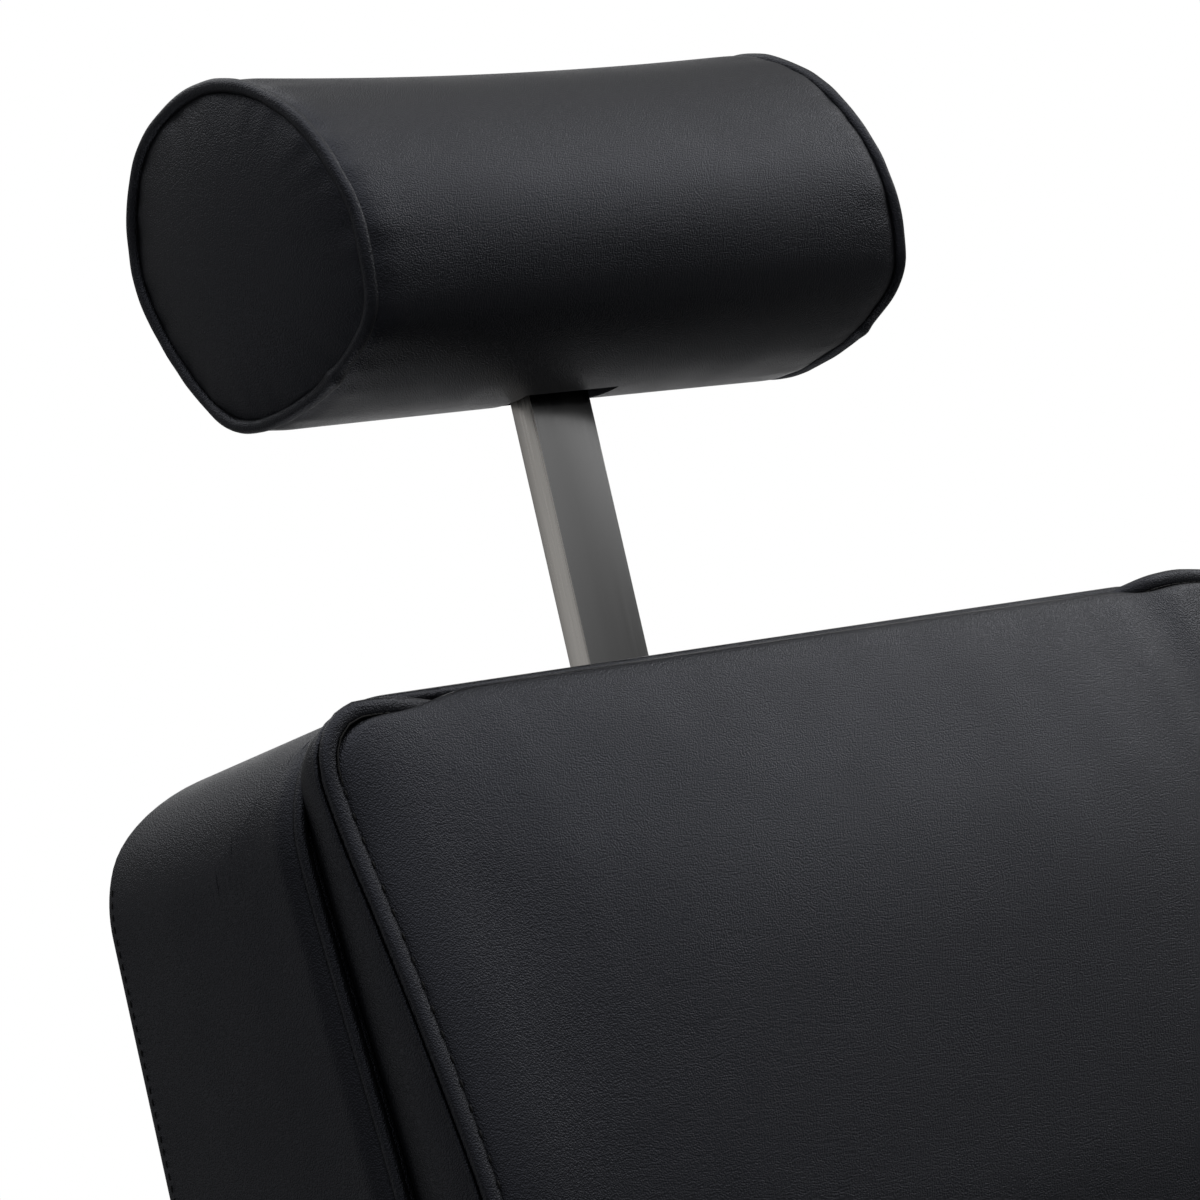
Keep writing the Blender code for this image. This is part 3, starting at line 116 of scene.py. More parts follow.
@dataclass(frozen=True)
class Place:
    """A leaning place: an origin on the chair's middle plane and a tilt about X."""

    y: float
    z: float
    lean: float
    upright: bool = True

    def matrix(self) -> Matrix:
        """Matrix from (a, b, c) to the chair's frame: upright places have b up and c forward.

        Returns:
            The matrix.
        """
        sine, cosine = math.sin(self.lean), math.cos(self.lean)
        along = (0.0, sine, cosine) if self.upright else (0.0, cosine, -sine)
        out = (0.0, -cosine, sine) if self.upright else (0.0, sine, cosine)
        columns = ((1.0, 0.0, 0.0), along, out, (0.0, self.y, self.z))
        rows = [[column[i] for column in columns] for i in range(3)]
        return Matrix(rows + [[0.0, 0.0, 0.0, 1.0]])


BACK_LEAN = math.radians(19)
LEVEL = Place(0.0, 0.0, 0.0, upright=False)
BACK_PLACE = Place(0.235, 0.4, BACK_LEAN)
FOOT_PLACE = Place(-0.265, 0.347, math.radians(25))
OUT = np.array([0.0, 0.0, 1.0])


def smooth(low: float, high: float, value: np.ndarray) -> np.ndarray:
    """Smooth step from 0 at low to 1 at high.

    Args:
        low: Value where the step starts.
        high: Value where it ends.
        value: Numbers to map.

    Returns:
        The mapped numbers.
    """
    share = np.clip((np.asarray(value, float) - low) / (high - low), 0.0, 1.0)
    return share * share * (3 - 2 * share)


def ripple(angle: np.ndarray, seed: float) -> np.ndarray:
    """A fixed uneven wave between about -1 and 1, for puckers in fabric.

    Args:
        angle: Position along the seam, in radians.
        seed: Shifts the wave.

    Returns:
        The wave's height.
    """
    waves = ((7, 0.5, 1.0), (13, 1.7, 0.8), (22, 0.3, 0.6), (31, 2.6, 0.45))
    usual_height = 1.9
    total = sum(size * np.sin(rate * angle + phase * seed) for rate, phase, size in waves)
    return total / usual_height


def resample(points: np.ndarray, count: int, closed: bool) -> np.ndarray:
    """Points spread evenly along a line.

    Args:
        points: The line's points.
        count: Points wanted.
        closed: Whether the line is a loop.

    Returns:
        The new points; a loop doesn't repeat its first one.
    """
    line = np.vstack([points, points[:1]]) if closed else np.asarray(points, float)
    steps = np.linalg.norm(np.diff(line, axis=0), axis=1)
    along = np.concatenate([[0.0], np.cumsum(steps)])
    wanted = np.linspace(0.0, along[-1], count + 1)[:-1] if closed else np.linspace(0.0, along[-1], count)
    return np.column_stack([np.interp(wanted, along, line[:, k]) for k in range(line.shape[1])])


def closed_spline(points: Sequence[Sequence[float]], count: int) -> np.ndarray:
    """A smooth loop through points, spread evenly.

    Args:
        points: Points that the loop passes through.
        count: Points wanted.

    Returns:
        The loop's points.
    """
    knots = np.asarray(points, float)
    before, after, beyond = np.roll(knots, 1, 0), np.roll(knots, -1, 0), np.roll(knots, -2, 0)
    steps = 12
    parts = []
    for share in np.linspace(0, 1, steps, endpoint=False):
        square, cube = share * share, share**3
        parts.append(
            0.5
            * (
                2 * knots
                + (after - before) * share
                + (2 * before - 5 * knots + 4 * after - beyond) * square
                + (3 * knots - before - 3 * after + beyond) * cube
            )
        )
    return resample(np.stack(parts, axis=1).reshape(-1, knots.shape[1]), count, True)


def directions(path: np.ndarray, closed: bool) -> np.ndarray:
    """Unit tangents along a path.

    Args:
        path: The path's points.
        closed: Whether it is a loop.

    Returns:
        One tangent for each point.
    """
    if closed:
        ahead = np.roll(path, -1, 0) - np.roll(path, 1, 0)
    else:
        ahead = np.gradient(path, axis=0)
    return ahead / np.linalg.norm(ahead, axis=1, keepdims=True)


def unit(vectors: np.ndarray) -> np.ndarray:
    """Vectors scaled to length one."""
    return vectors / np.maximum(np.linalg.norm(vectors, axis=-1, keepdims=True), 1e-12)


def rounded_loop(
    half: float, low: float, high: float, low_round: float, high_round: float, across: int, along: int
) -> np.ndarray:
    """A rounded rectangle, anticlockwise from the middle of its low left corner.

    Args:
        half: Half its width.
        low: Lower edge.
        high: Upper edge.
        low_round: Radius of the lower corners.
        high_round: Radius of the upper corners.
        across: Steps along the lower and the upper side.
        along: Steps along the left and the right side.

    Returns:
        2 (across + along) points.
    """

    def arc(middle: Pair, radius: float, start: float) -> list[Pair]:
        """An eighth of a turn about a corner's middle.

        Args:
            middle: The corner's middle.
            radius: The corner's radius.
            start: Angle that it starts from, in degrees.

        Returns:
            The arc's points.
        """
        steps = 6
        turns = [math.radians(start + 45 * k / steps) for k in range(steps + 1)]
        return [(middle[0] + radius * math.cos(t), middle[1] + radius * math.sin(t)) for t in turns]

    corners = (
        ((-half + low_round, low + low_round), low_round, 180),
        ((half - low_round, low + low_round), low_round, 270),
        ((half - high_round, high - high_round), high_round, 0),
        ((-half + high_round, high - high_round), high_round, 90),
    )
    sides = []
    for k, (middle, radius, start) in enumerate(corners):
        next_middle, next_radius, next_start = corners[(k + 1) % 4]
        side = np.array(arc(middle, radius, start + 45) + arc(next_middle, next_radius, next_start))
        count = across if k % 2 == 0 else along
        sides.append(resample(side, count + 1, False)[:-1])
    return np.vstack(sides)


class Bench:
    """The workbench: makes, shapes and finishes mesh objects."""

    weld = 0.00001
    node_weld = 0.00002
    flat_angle = math.radians(0.5)
    eased_angle = 40.0

    @staticmethod
    def clear() -> None:
        """Deselects everything."""
        bpy.ops.object.select_all(action="DESELECT")

    @staticmethod
    def hold(obj: Object) -> None:
        """Makes one object the only selected and the active one.

        Args:
            obj: The object.
        """
        Bench.clear()
        obj.select_set(True)
        bpy.context.view_layer.objects.active = obj

    @staticmethod
    def mesh(
        name: str, points: np.ndarray, faces: Sequence[Sequence[int]], matrix: Optional[Matrix] = None
    ) -> Object:
        """A mesh object whose place is in its points.

        Args:
            name: The piece's name.
            points: Vertices.
            faces: Corner numbers of each face.
            matrix: Matrix from the points' place to the chair's frame.

        Returns:
            The new object.
        """
        data = bpy.data.meshes.new(name)
        data.from_pydata([tuple(map(float, p)) for p in points], [], [tuple(map(int, f)) for f in faces])
        if matrix is not None:
            data.transform(matrix)
        data.update()
        obj = bpy.data.objects.new(name, data)
        bpy.context.scene.collection.objects.link(obj)
        return obj

    @staticmethod
    def points(obj: Object) -> np.ndarray:
        """The object's vertices as an array.

        Args:
            obj: The object.

        Returns:
            One row for each vertex.
        """
        flat = np.empty(len(obj.data.vertices) * 3, np.float32)
        obj.data.vertices.foreach_get("co", flat)
        return flat.reshape(-1, 3).astype(float)

    @staticmethod
    def move(obj: Object, points: np.ndarray) -> None:
        """Puts the object's vertices at new points."""
        obj.data.vertices.foreach_set("co", np.asarray(points, np.float32).ravel())
        obj.data.update()

    @staticmethod
    def apply(obj: Object) -> None:
        """Applies every modifier of the object.

        Args:
            obj: The piece.
        """
        Bench.hold(obj)
        for modifier in list(obj.modifiers):
            bpy.ops.object.modifier_apply(modifier=modifier.name)

    @staticmethod
    def subdivide(obj: Object) -> None:
        """Smooths the object by one applied subdivision.

        Args:
            obj: The piece.
        """
        modifier = obj.modifiers.new("subdivide", "SUBSURF")
        modifier.levels = modifier.render_levels = 1
        Bench.apply(obj)

    @staticmethod
    def bevel(obj: Object, width: float, segments: int = 3, angle: float = 35.0) -> None:
        """Rounds the object's sharp edges.

        Args:
            obj: The piece.
            width: Bevel width.
            segments: Steps across it.
            angle: Edges sharper than this many degrees are rounded.
        """
        modifier = obj.modifiers.new("edges", "BEVEL")
        modifier.width = width
        modifier.segments = segments
        modifier.limit_method = "ANGLE"
        modifier.angle_limit = math.radians(angle)
        modifier.use_clamp_overlap = True
        Bench.apply(obj)

    @staticmethod
    def carve(obj: Object, cutter: Object) -> None:
        """Takes a cutter out of the object and removes the cutter.

        Args:
            obj: The piece.
            cutter: The form that is taken out.
        """
        modifier = obj.modifiers.new("carve", "BOOLEAN")
        modifier.operation = "DIFFERENCE"
        modifier.solver = "EXACT"
        modifier.object = cutter
        Bench.apply(obj)
        bpy.data.objects.remove(cutter, do_unlink=True)

    @staticmethod
    def block(name: str, low: Sequence[float], high: Sequence[float], matrix: Matrix) -> Object:
        """A box between two corners of a place.

        Args:
            name: The box's name.
            low: Lowest corner.
            high: Highest corner.
            matrix: Matrix from the place to the chair's frame.

        Returns:
            The box.
        """
        Bench.clear()
        bpy.ops.mesh.primitive_cube_add(size=1.0)
        obj = bpy.context.object
        obj.name = name
        middle = (Vector(low) + Vector(high)) / 2
        sides = Vector(high) - Vector(low)
        obj.data.transform(matrix @ Matrix.Translation(middle) @ Matrix.Diagonal((*sides, 1.0)))
        return obj

    @staticmethod
    def sweep(
        name: str,
        path: np.ndarray,
        out: np.ndarray,
        profile: Sequence[Sequence[float]],
        closed: bool = True,
        size: Optional[np.ndarray] = None,
        matrix: Optional[Matrix] = None,
    ) -> Object:
        """A profile carried along a path.

        Args:
            name: The piece's name.
            path: Points of the path.
            out: Direction of the profile's first axis at each point.
            profile: (out, side) points of the profile, anticlockwise.
            closed: Whether the path is a loop.
            size: Scale of the profile at each point.
            matrix: Matrix from the path's place to the chair's frame.

        Returns:
            The swept piece.
        """
        forward = directions(path, closed)
        out = unit(out - forward * np.sum(out * forward, axis=1, keepdims=True))
        side = np.cross(forward, out)
        scale = np.ones(len(path)) if size is None else size
        rings = [path + (out * p[0] + side * p[1]) * scale[:, None] for p in np.asarray(profile, float)]
        points = np.stack(rings, axis=1).reshape(-1, 3)
        around, count = len(profile), len(path)
        faces = []
        for k in range(count if closed else count - 1):
            here, there = k * around, ((k + 1) % count) * around
            for j in range(around):
                after = (j + 1) % around
                faces.append((here + j, here + after, there + after, there + j))
        if not closed:
            faces.append(tuple(range(around))[::-1])
            faces.append(tuple((count - 1) * around + j for j in range(around)))
        obj = Bench.mesh(name, points, faces, matrix)
        obj.data.shade_smooth()
        return obj

    @staticmethod
    def face_out(obj: Object) -> None:
        """Turns every face of the object outward.

        Args:
            obj: The closed piece.
        """
        Bench.hold(obj)
        bpy.ops.object.mode_set(mode="EDIT")
        bpy.ops.mesh.select_all(action="SELECT")
        bpy.ops.mesh.normals_make_consistent(inside=False)
        bpy.ops.object.mode_set(mode="OBJECT")

    @staticmethod
    def turned(name: str, profile: Sequence[Pair], steps: int = 96) -> Object:
        """A ring turned about the Z axis.

        Args:
            name: The piece's name.
            profile: (radius, height) points of its closed section.
            steps: Steps round the axis.

        Returns:
            The turned piece.
        """
        data = bpy.data.meshes.new(name)
        count = len(profile)
        points = [(radius, 0.0, height) for radius, height in profile]
        data.from_pydata(points, [(k, (k + 1) % count) for k in range(count)], [])
        obj = bpy.data.objects.new(name, data)
        bpy.context.scene.collection.objects.link(obj)
        Bench.hold(obj)
        bpy.ops.object.mode_set(mode="EDIT")
        bpy.ops.mesh.select_all(action="SELECT")
        bpy.ops.mesh.spin(steps=steps, angle=2 * math.pi, center=(0, 0, 0), axis=(0, 0, 1))
        bpy.ops.mesh.select_all(action="SELECT")
        bpy.ops.mesh.remove_doubles(threshold=Bench.weld)
        bpy.ops.mesh.normals_make_consistent(inside=False)
        bpy.ops.object.mode_set(mode="OBJECT")
        return obj

    @staticmethod
    def copy_of(node: Object, width: float) -> Object:
        """A copy of a frame's node with its edges eased.

        Args:
            node: The frame's node.
            width: Width of the eased edges.

        Returns:
            The copy.
        """
        obj = bpy.data.objects.new(f"{node.name}_eased", node.data.copy())
        bpy.context.scene.collection.objects.link(obj)
        Bench.hold(obj)
        bpy.ops.object.mode_set(mode="EDIT")
        bpy.ops.mesh.select_all(action="SELECT")
        bpy.ops.mesh.remove_doubles(threshold=Bench.node_weld)
        bpy.ops.mesh.dissolve_limited(angle_limit=Bench.flat_angle)
        bpy.ops.mesh.normals_make_consistent(inside=False)
        bpy.ops.object.mode_set(mode="OBJECT")
        Bench.bevel(obj, width, 2, Bench.eased_angle)
        return obj

    @staticmethod
    def join(pieces: Sequence[Object]) -> Object:
        """Joins pieces into the first of them.

        Args:
            pieces: The pieces.

        Returns:
            The first piece, which holds them all.
        """
        Bench.hold(pieces[0])
        for piece in pieces[1:]:
            piece.select_set(True)
        bpy.ops.object.join()
        return pieces[0]

    @staticmethod
    def dress(
        obj: Object,
        finish: Material,
        body: Body,
        slot: Slot,
        replaces: Sequence[str] = (),
        angle: Optional[float] = None,
    ) -> Object:
        """Gives a piece its finish and its body, and hides the CAD nodes that it stands for.

        Args:
            obj: The piece.
            finish: Its material.
            body: Body that it rides on.
            slot: Slot of the record that its finish belongs to; not used.
            replaces: CAD nodes that it stands for.
            angle: Edges sharper than this many degrees stay sharp; all are smooth without it.

        Returns:
            The piece.
        """
        obj.data.materials.clear()
        obj.data.materials.append(finish)
        if angle is None:
            obj.data.shade_smooth()
        else:
            Bench.hold(obj)
            bpy.ops.object.shade_smooth_by_angle(angle=math.radians(angle))
        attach(obj, body.value)
        if replaces:
            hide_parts(*replaces)
        LOG.info("%s: %d faces on %s", obj.name, len(obj.data.polygons), body.value)
        return obj


def round_profile(radius: float, count: int = 10, flat: float = 1.0) -> list[Pair]:
    """Points of a round or flattened cord's section.

    Args:
        radius: Half its width along the first axis.
        count: Points round it.
        flat: Share of the radius along the second axis.

    Returns:
        (out, side) points, anticlockwise.
    """
    turns = [2 * math.pi * k / count for k in range(count)]
    return [(radius * math.cos(t), radius * flat * math.sin(t)) for t in turns]


def stitch_row(
    name: str,
    path: np.ndarray,
    out: np.ndarray,
    closed: bool,
    matrix: Optional[Matrix] = None,
    length: float = 0.0031,
    gap: float = 0.0014,
    radius: float = 0.00042,
) -> Object:
    """A row of thread stitches along a seam, each dipping into the leather at its ends.

    Args:
        name: The row's name.
        path: Points on the leather's face.
        out: Direction away from the face at each point.
        closed: Whether the seam is a loop.
        matrix: Matrix from the path's place to the chair's frame.
        length: Length of a stitch.
        gap: Leather between two stitches.
        radius: The thread's radius.

    Returns:
        All the stitches as one mesh.
    """
    line = np.vstack([path, path[:1]]) if closed else path
    total = np.linalg.norm(np.diff(line, axis=0), axis=1).sum()
    count = max(2, int(total / (length + gap)))
    places = resample(np.hstack([path, out]), count, closed)
    middle, away = places[:, :3], unit(places[:, 3:])
    forward = directions(middle, closed)
    away = unit(away - forward * np.sum(away * forward, axis=1, keepdims=True))
    side = np.cross(forward, away)
    end, shoulder = (0.45, -1.5), (0.95, 0.1)
    stations = ((-0.5, *end), (-0.36, *shoulder), (0.0, 1.0, 0.35), (0.36, *shoulder), (0.5, *end))
    around = 6
    points, faces = [], []
    for k in range(count):
        first = len(points)
        for along, thick, lift in stations:
            hub = middle[k] + forward[k] * along * length + away[k] * lift * radius
            for j in range(around):
                turn = 2 * math.pi * j / around
                spoke = away[k] * math.cos(turn) + side[k] * math.sin(turn)
                points.append(hub + spoke * radius * thick)
        for ring in range(len(stations) - 1):
            for j in range(around):
                here, there = first + ring * around, first + (ring + 1) * around
                after = (j + 1) % around
                faces.append((here + j, there + j, there + after, here + after))
        faces.append([first + j for j in range(around)])
        faces.append([first + (len(stations) - 1) * around + j for j in range(around)][::-1])
    obj = Bench.mesh(name, np.array(points), faces, matrix)
    Bench.face_out(obj)
    return obj


def swell(obj: Object, pinned: np.ndarray, pressure: float, cap: float) -> None:
    """Fills a padded piece by a short cloth simulation and keeps the result, evened out, in its mesh.

    Args:
        obj: The closed mesh.
        pinned: Which vertices the seams hold.
        pressure: Pressure of the filling.
        cap: Furthest that a point may move.
    """
    last_frame, evenings = 20, 30
    rest = Bench.points(obj)
    group = obj.vertex_groups.new(name="seams")
    group.add([int(k) for k in np.flatnonzero(pinned)], 1.0, "REPLACE")
    modifier = obj.modifiers.new("swell", "CLOTH")
    cloth = modifier.settings
    cloth.quality = 6
    cloth.mass = 0.3
    cloth.tension_stiffness = cloth.compression_stiffness = 18
    cloth.shear_stiffness = 8
    cloth.bending_stiffness = 1.2
    cloth.use_pressure = True
    cloth.uniform_pressure_force = pressure
    cloth.effector_weights.gravity = 0
    cloth.vertex_group_mass = group.name
    modifier.collision_settings.use_collision = False
    modifier.collision_settings.use_self_collision = False
    modifier.point_cache.frame_start, modifier.point_cache.frame_end = 1, last_frame
    for frame in range(1, last_frame + 1):
        bpy.context.scene.frame_set(frame)
    graph = bpy.context.evaluated_depsgraph_get()
    swollen = Bench.points(obj.evaluated_get(graph))
    obj.modifiers.remove(modifier)
    obj.vertex_groups.remove(group)
    bpy.context.scene.frame_set(1)
    shift = swollen - rest
    ends = np.array([edge.vertices[:] for edge in obj.data.edges])
    degree = np.bincount(ends.ravel(), minlength=len(rest))[:, None]
    for _ in range(evenings):
        total = np.zeros_like(shift)
        np.add.at(total, ends[:, 0], shift[ends[:, 1]])
        np.add.at(total, ends[:, 1], shift[ends[:, 0]])
        shift = np.where(pinned[:, None], 0.0, 0.5 * shift + 0.5 * total / degree)
    reach = np.linalg.norm(shift, axis=1, keepdims=True)
    Bench.move(obj, rest + shift * cap * np.tanh(reach / cap) / np.maximum(reach, 1e-9))
    LOG.info("%s swelled by up to %.1f mm", obj.name, 1000 * min(float(reach.max()), cap))


class Nodes:
    """Writes a node tree."""

    def __init__(self, tree: bpy.types.NodeTree) -> None:
        """Keeps the tree."""
        self.tree = tree

    def add(self, kind: str, **settings: object) -> bpy.types.Node:
        """Adds a node and sets its properties.

        Args:
            kind: The node's type.
            settings: Properties and their values.

        Returns:
            The node.
        """
        node = self.tree.nodes.new(kind)
        for key, value in settings.items():
            setattr(node, key, value)
        return node

    def link(self, source: Socket, target: Socket) -> None:
        """Joins two sockets."""
        self.tree.links.new(source, target)

    def spread(
        self,
        source: Socket,
        low: float,
        high: float,
        start: float = 0.0,
        end: float = 1.0,
        soft: bool = False,
    ) -> Socket:
        """Maps a value from start..end to low..high.

        Args:
            source: The value.
            low: Result at start.
            high: Result at end.
            start: Where the range starts.
            end: Where it ends.
            soft: Whether it is a smooth step.

        Returns:
            The mapped value's socket.
        """
        node = self.add("ShaderNodeMapRange", interpolation_type="SMOOTHSTEP" if soft else "LINEAR")
        for key, value in (("From Min", start), ("From Max", end), ("To Min", low), ("To Max", high)):
            node.inputs[key].default_value = value
        self.link(source, node.inputs["Value"])
        return node.outputs["Result"]

    def both(
        self, operation: str, first: Socket, second: Socket
    ) -> Socket:
        """Joins two values.

        Args:
            operation: How they are joined.
            first: One value.
            second: The other value.

        Returns:
            The joined value.
        """
        node = self.add("ShaderNodeMath", operation=operation)
        self.link(first, node.inputs[0])
        self.link(second, node.inputs[1])
        return node.outputs["Value"]

    def facing(self, toward: Socket, direction: Sequence[float]) -> Socket:
        """How closely a ray runs along a direction.

        Args:
            toward: Where the ray runs.
            direction: The direction.

        Returns:
            1 along it and -1 against it.
        """
        node = self.add("ShaderNodeVectorMath", operation="DOT_PRODUCT")
        self.link(toward, node.inputs[0])
        node.inputs[1].default_value = Vector(direction).normalized()
        return node.outputs["Value"]


class Surface(Nodes):
    """Writes a material's node tree."""

    def __init__(self, name: str) -> None:
        """Starts a material with a Principled shader.

        Args:
            name: The material's name.
        """
        self.material = bpy.data.materials.new(name)
        self.material.use_nodes = True
        super().__init__(self.material.node_tree)
        self.shader = self.tree.nodes["Principled BSDF"]
        self.place = self.add("ShaderNodeTexCoord").outputs["Object"]

    def put(self, **values: object) -> None:
        """Sets sockets of the shader; a name's underscores stand for spaces."""
        for key, value in values.items():
            self.shader.inputs[key.replace("_", " ")].default_value = value

    def mapped(self, scale: Sequence[float], turn: Sequence[float] = (0, 0, 0)) -> Socket:
        """Object coordinates, turned and then scaled.

        Args:
            scale: Scale along each axis.
            turn: Rotation about each axis, in radians.

        Returns:
            The mapped coordinates.
        """
        node = self.add("ShaderNodeMapping")
        node.inputs["Rotation"].default_value = turn
        turned = self.add("ShaderNodeVectorMath", operation="MULTIPLY")
        self.link(self.place, node.inputs["Vector"])
        self.link(node.outputs["Vector"], turned.inputs[0])
        turned.inputs[1].default_value = scale
        return turned.outputs["Vector"]

    def noise(
        self,
        scale: float,
        detail: float = 2.0,
        rough: float = 0.5,
        vector: Optional[Socket] = None,
    ) -> Socket:
        """A noise texture's height.

        Args:
            scale: Noise cells per metre.
            detail: Octaves.
            rough: Weight of the finer octaves.
            vector: Coordinates other than the object's own.

        Returns:
            The noise, about 0 to 1.
        """
        node = self.add("ShaderNodeTexNoise")
        node.inputs["Scale"].default_value = scale
        node.inputs["Detail"].default_value = detail
        node.inputs["Roughness"].default_value = rough
        self.link(vector or self.place, node.inputs["Vector"])
        return node.outputs["Fac"]

    def blend(
        self, share: Socket, low: Sequence[float], high: Sequence[float]
    ) -> Socket:
        """A colour between two, by a share.

        Args:
            share: The share, 0 to 1.
            low: Colour at 0.
            high: Colour at 1.

        Returns:
            The colour's socket.
        """
        node = self.add("ShaderNodeMix", data_type="RGBA")
        node.inputs[6].default_value = (*low, 1.0)
        node.inputs[7].default_value = (*high, 1.0)
        self.link(share, node.inputs[0])
        return node.outputs[2]

    def bump(
        self,
        height: Socket,
        depth: float,
        strength: float,
        under: Optional[Socket] = None,
    ) -> Socket:
        """A bump from a height.

        Args:
            height: The height, 0 to 1.
            depth: Depth in metres.
            strength: Share of the bump.
            under: Normal that it adds to.

        Returns:
            The new normal.
        """
        node = self.add("ShaderNodeBump")
        node.inputs["Strength"].default_value = strength
        node.inputs["Distance"].default_value = depth
        self.link(height, node.inputs["Height"])
        if under is not None:
            self.link(under, node.inputs["Normal"])
        return node.outputs["Normal"]


@dataclass(frozen=True)
class Leather:
    """Black upholstery leather with a fine pebbled grain."""

    name: str = "black_leather"
    dark: Triple = (0.0028, 0.0029, 0.0032)
    light: Triple = (0.0042, 0.0043, 0.0048)
    sheen: Triple = (0.78, 0.82, 1.0)
    roughness: Pair = (0.33, 0.41)
    specular: float = 0.38
    pebble: float = 0.00062
    depth: float = 0.00019
    strength: float = 0.8
    wander: float = 420.0
    wander_share: float = 0.9
    cell_blend: float = 0.55
    hide: float = 30.0
    hide_depth: float = 0.0012
    hide_strength: float = 0.08
    blotch: float = 60.0

    def make(self) -> Material:
        """Builds the material.

        Returns:
            The material.
        """
        nodes = Surface(self.name)
        wander = nodes.add("ShaderNodeTexNoise")
        wander.inputs["Scale"].default_value = self.wander
        nodes.link(nodes.place, wander.inputs["Vector"])
        shifted = nodes.add("ShaderNodeVectorMath", operation="MULTIPLY_ADD")
        nodes.link(wander.outputs["Color"], shifted.inputs[0])
        shifted.inputs[1].default_value = (self.pebble * self.wander_share,) * 3
        nodes.link(nodes.place, shifted.inputs[2])
        cells = nodes.add("ShaderNodeTexVoronoi", feature="SMOOTH_F1")
        cells.inputs["Scale"].default_value = 1.0 / self.pebble
        cells.inputs["Smoothness"].default_value = self.cell_blend
        nodes.link(shifted.outputs["Vector"], cells.inputs["Vector"])
        pebbles = nodes.spread(cells.outputs["Distance"], 1.0, 0.0, 0.1, 0.75)
        hide = nodes.noise(self.hide, 2.0, 0.5)
        normal = nodes.bump(hide, self.hide_depth, self.hide_strength)
        normal = nodes.bump(pebbles, self.depth, self.strength, normal)
        nodes.link(normal, nodes.shader.inputs["Normal"])
        colour = nodes.blend(nodes.noise(self.blotch, 4.0), self.dark, self.light)
        nodes.link(colour, nodes.shader.inputs["Base Color"])
        nodes.link(nodes.spread(hide, *self.roughness, 0.3, 0.7), nodes.shader.inputs["Roughness"])
        nodes.put(Specular_IOR_Level=self.specular, Specular_Tint=(*self.sheen, 1.0))
        return nodes.material


@dataclass(frozen=True)
class Metal:
    """A bare or plated metal with fine scratches, brushed along one axis if asked."""

    name: str
    colour: Triple
    roughness: Pair
    streaks: Triple = (900.0, 900.0, 900.0)
    lean: float = 0.0
    depth: float = 0.00002
    strength: float = 0.08
    shade: float = 0.9
    blotch: float = 14.0

    def make(self) -> Material:
        """Builds the material.

        Returns:
            The material.
        """
        nodes = Surface(self.name)
        lines = nodes.noise(1.0, 3.0, 0.6, nodes.mapped(self.streaks, (self.lean, 0, 0)))
        nodes.link(nodes.spread(lines, *self.roughness, 0.3, 0.7), nodes.shader.inputs["Roughness"])
        dull = tuple(self.shade * c for c in self.colour)
        colour = nodes.blend(nodes.noise(self.blotch, 3.0), dull, self.colour)
        nodes.link(colour, nodes.shader.inputs["Base Color"])
        nodes.link(nodes.bump(lines, self.depth, self.strength), nodes.shader.inputs["Normal"])
        nodes.put(Metallic=1.0)
        return nodes.material


@dataclass(frozen=True)
class Coated:
    """A painted, moulded or rubber surface with a fine texture."""

    name: str
    dark: Triple
    light: Triple
    roughness: Pair
    grain: float
    depth: float
    strength: float = 0.5
    specular: float = 0.4
    wear: float = 11.0

    def make(self) -> Material:
        """Builds the material.

        Returns:
            The material.
        """
        nodes = Surface(self.name)
        grain = nodes.noise(self.grain, 3.0, 0.6)
        wear = nodes.noise(self.wear, 4.0, 0.6)
        nodes.link(nodes.blend(wear, self.dark, self.light), nodes.shader.inputs["Base Color"])
        nodes.link(nodes.spread(wear, *self.roughness, 0.3, 0.7), nodes.shader.inputs["Roughness"])
        nodes.link(nodes.bump(grain, self.depth, self.strength), nodes.shader.inputs["Normal"])
        nodes.put(Specular_IOR_Level=self.specular)
        return nodes.material


@dataclass(frozen=True)
class Plywood:
    """Black-stained plywood with grain along X and its plies on the edges."""

    name: str = "plywood"
    dark: Triple = (0.018, 0.015, 0.013)
    light: Triple = (0.034, 0.029, 0.025)
    roughness: Pair = (0.55, 0.75)
    grain: Triple = (6.0, 130.0, 420.0)
    depth: float = 0.0002
    strength: float = 0.4

    def make(self) -> Material:
        """Builds the material.

        Returns:
            The material.
        """
        nodes = Surface(self.name)
        grain = nodes.noise(1.0, 5.0, 0.65, nodes.mapped(self.grain))
        colour = nodes.blend(nodes.spread(grain, 0.0, 1.0, 0.3, 0.7), self.dark, self.light)
        nodes.link(colour, nodes.shader.inputs["Base Color"])
        nodes.link(nodes.spread(grain, *self.roughness), nodes.shader.inputs["Roughness"])
        nodes.link(nodes.bump(grain, self.depth, self.strength), nodes.shader.inputs["Normal"])
        return nodes.material


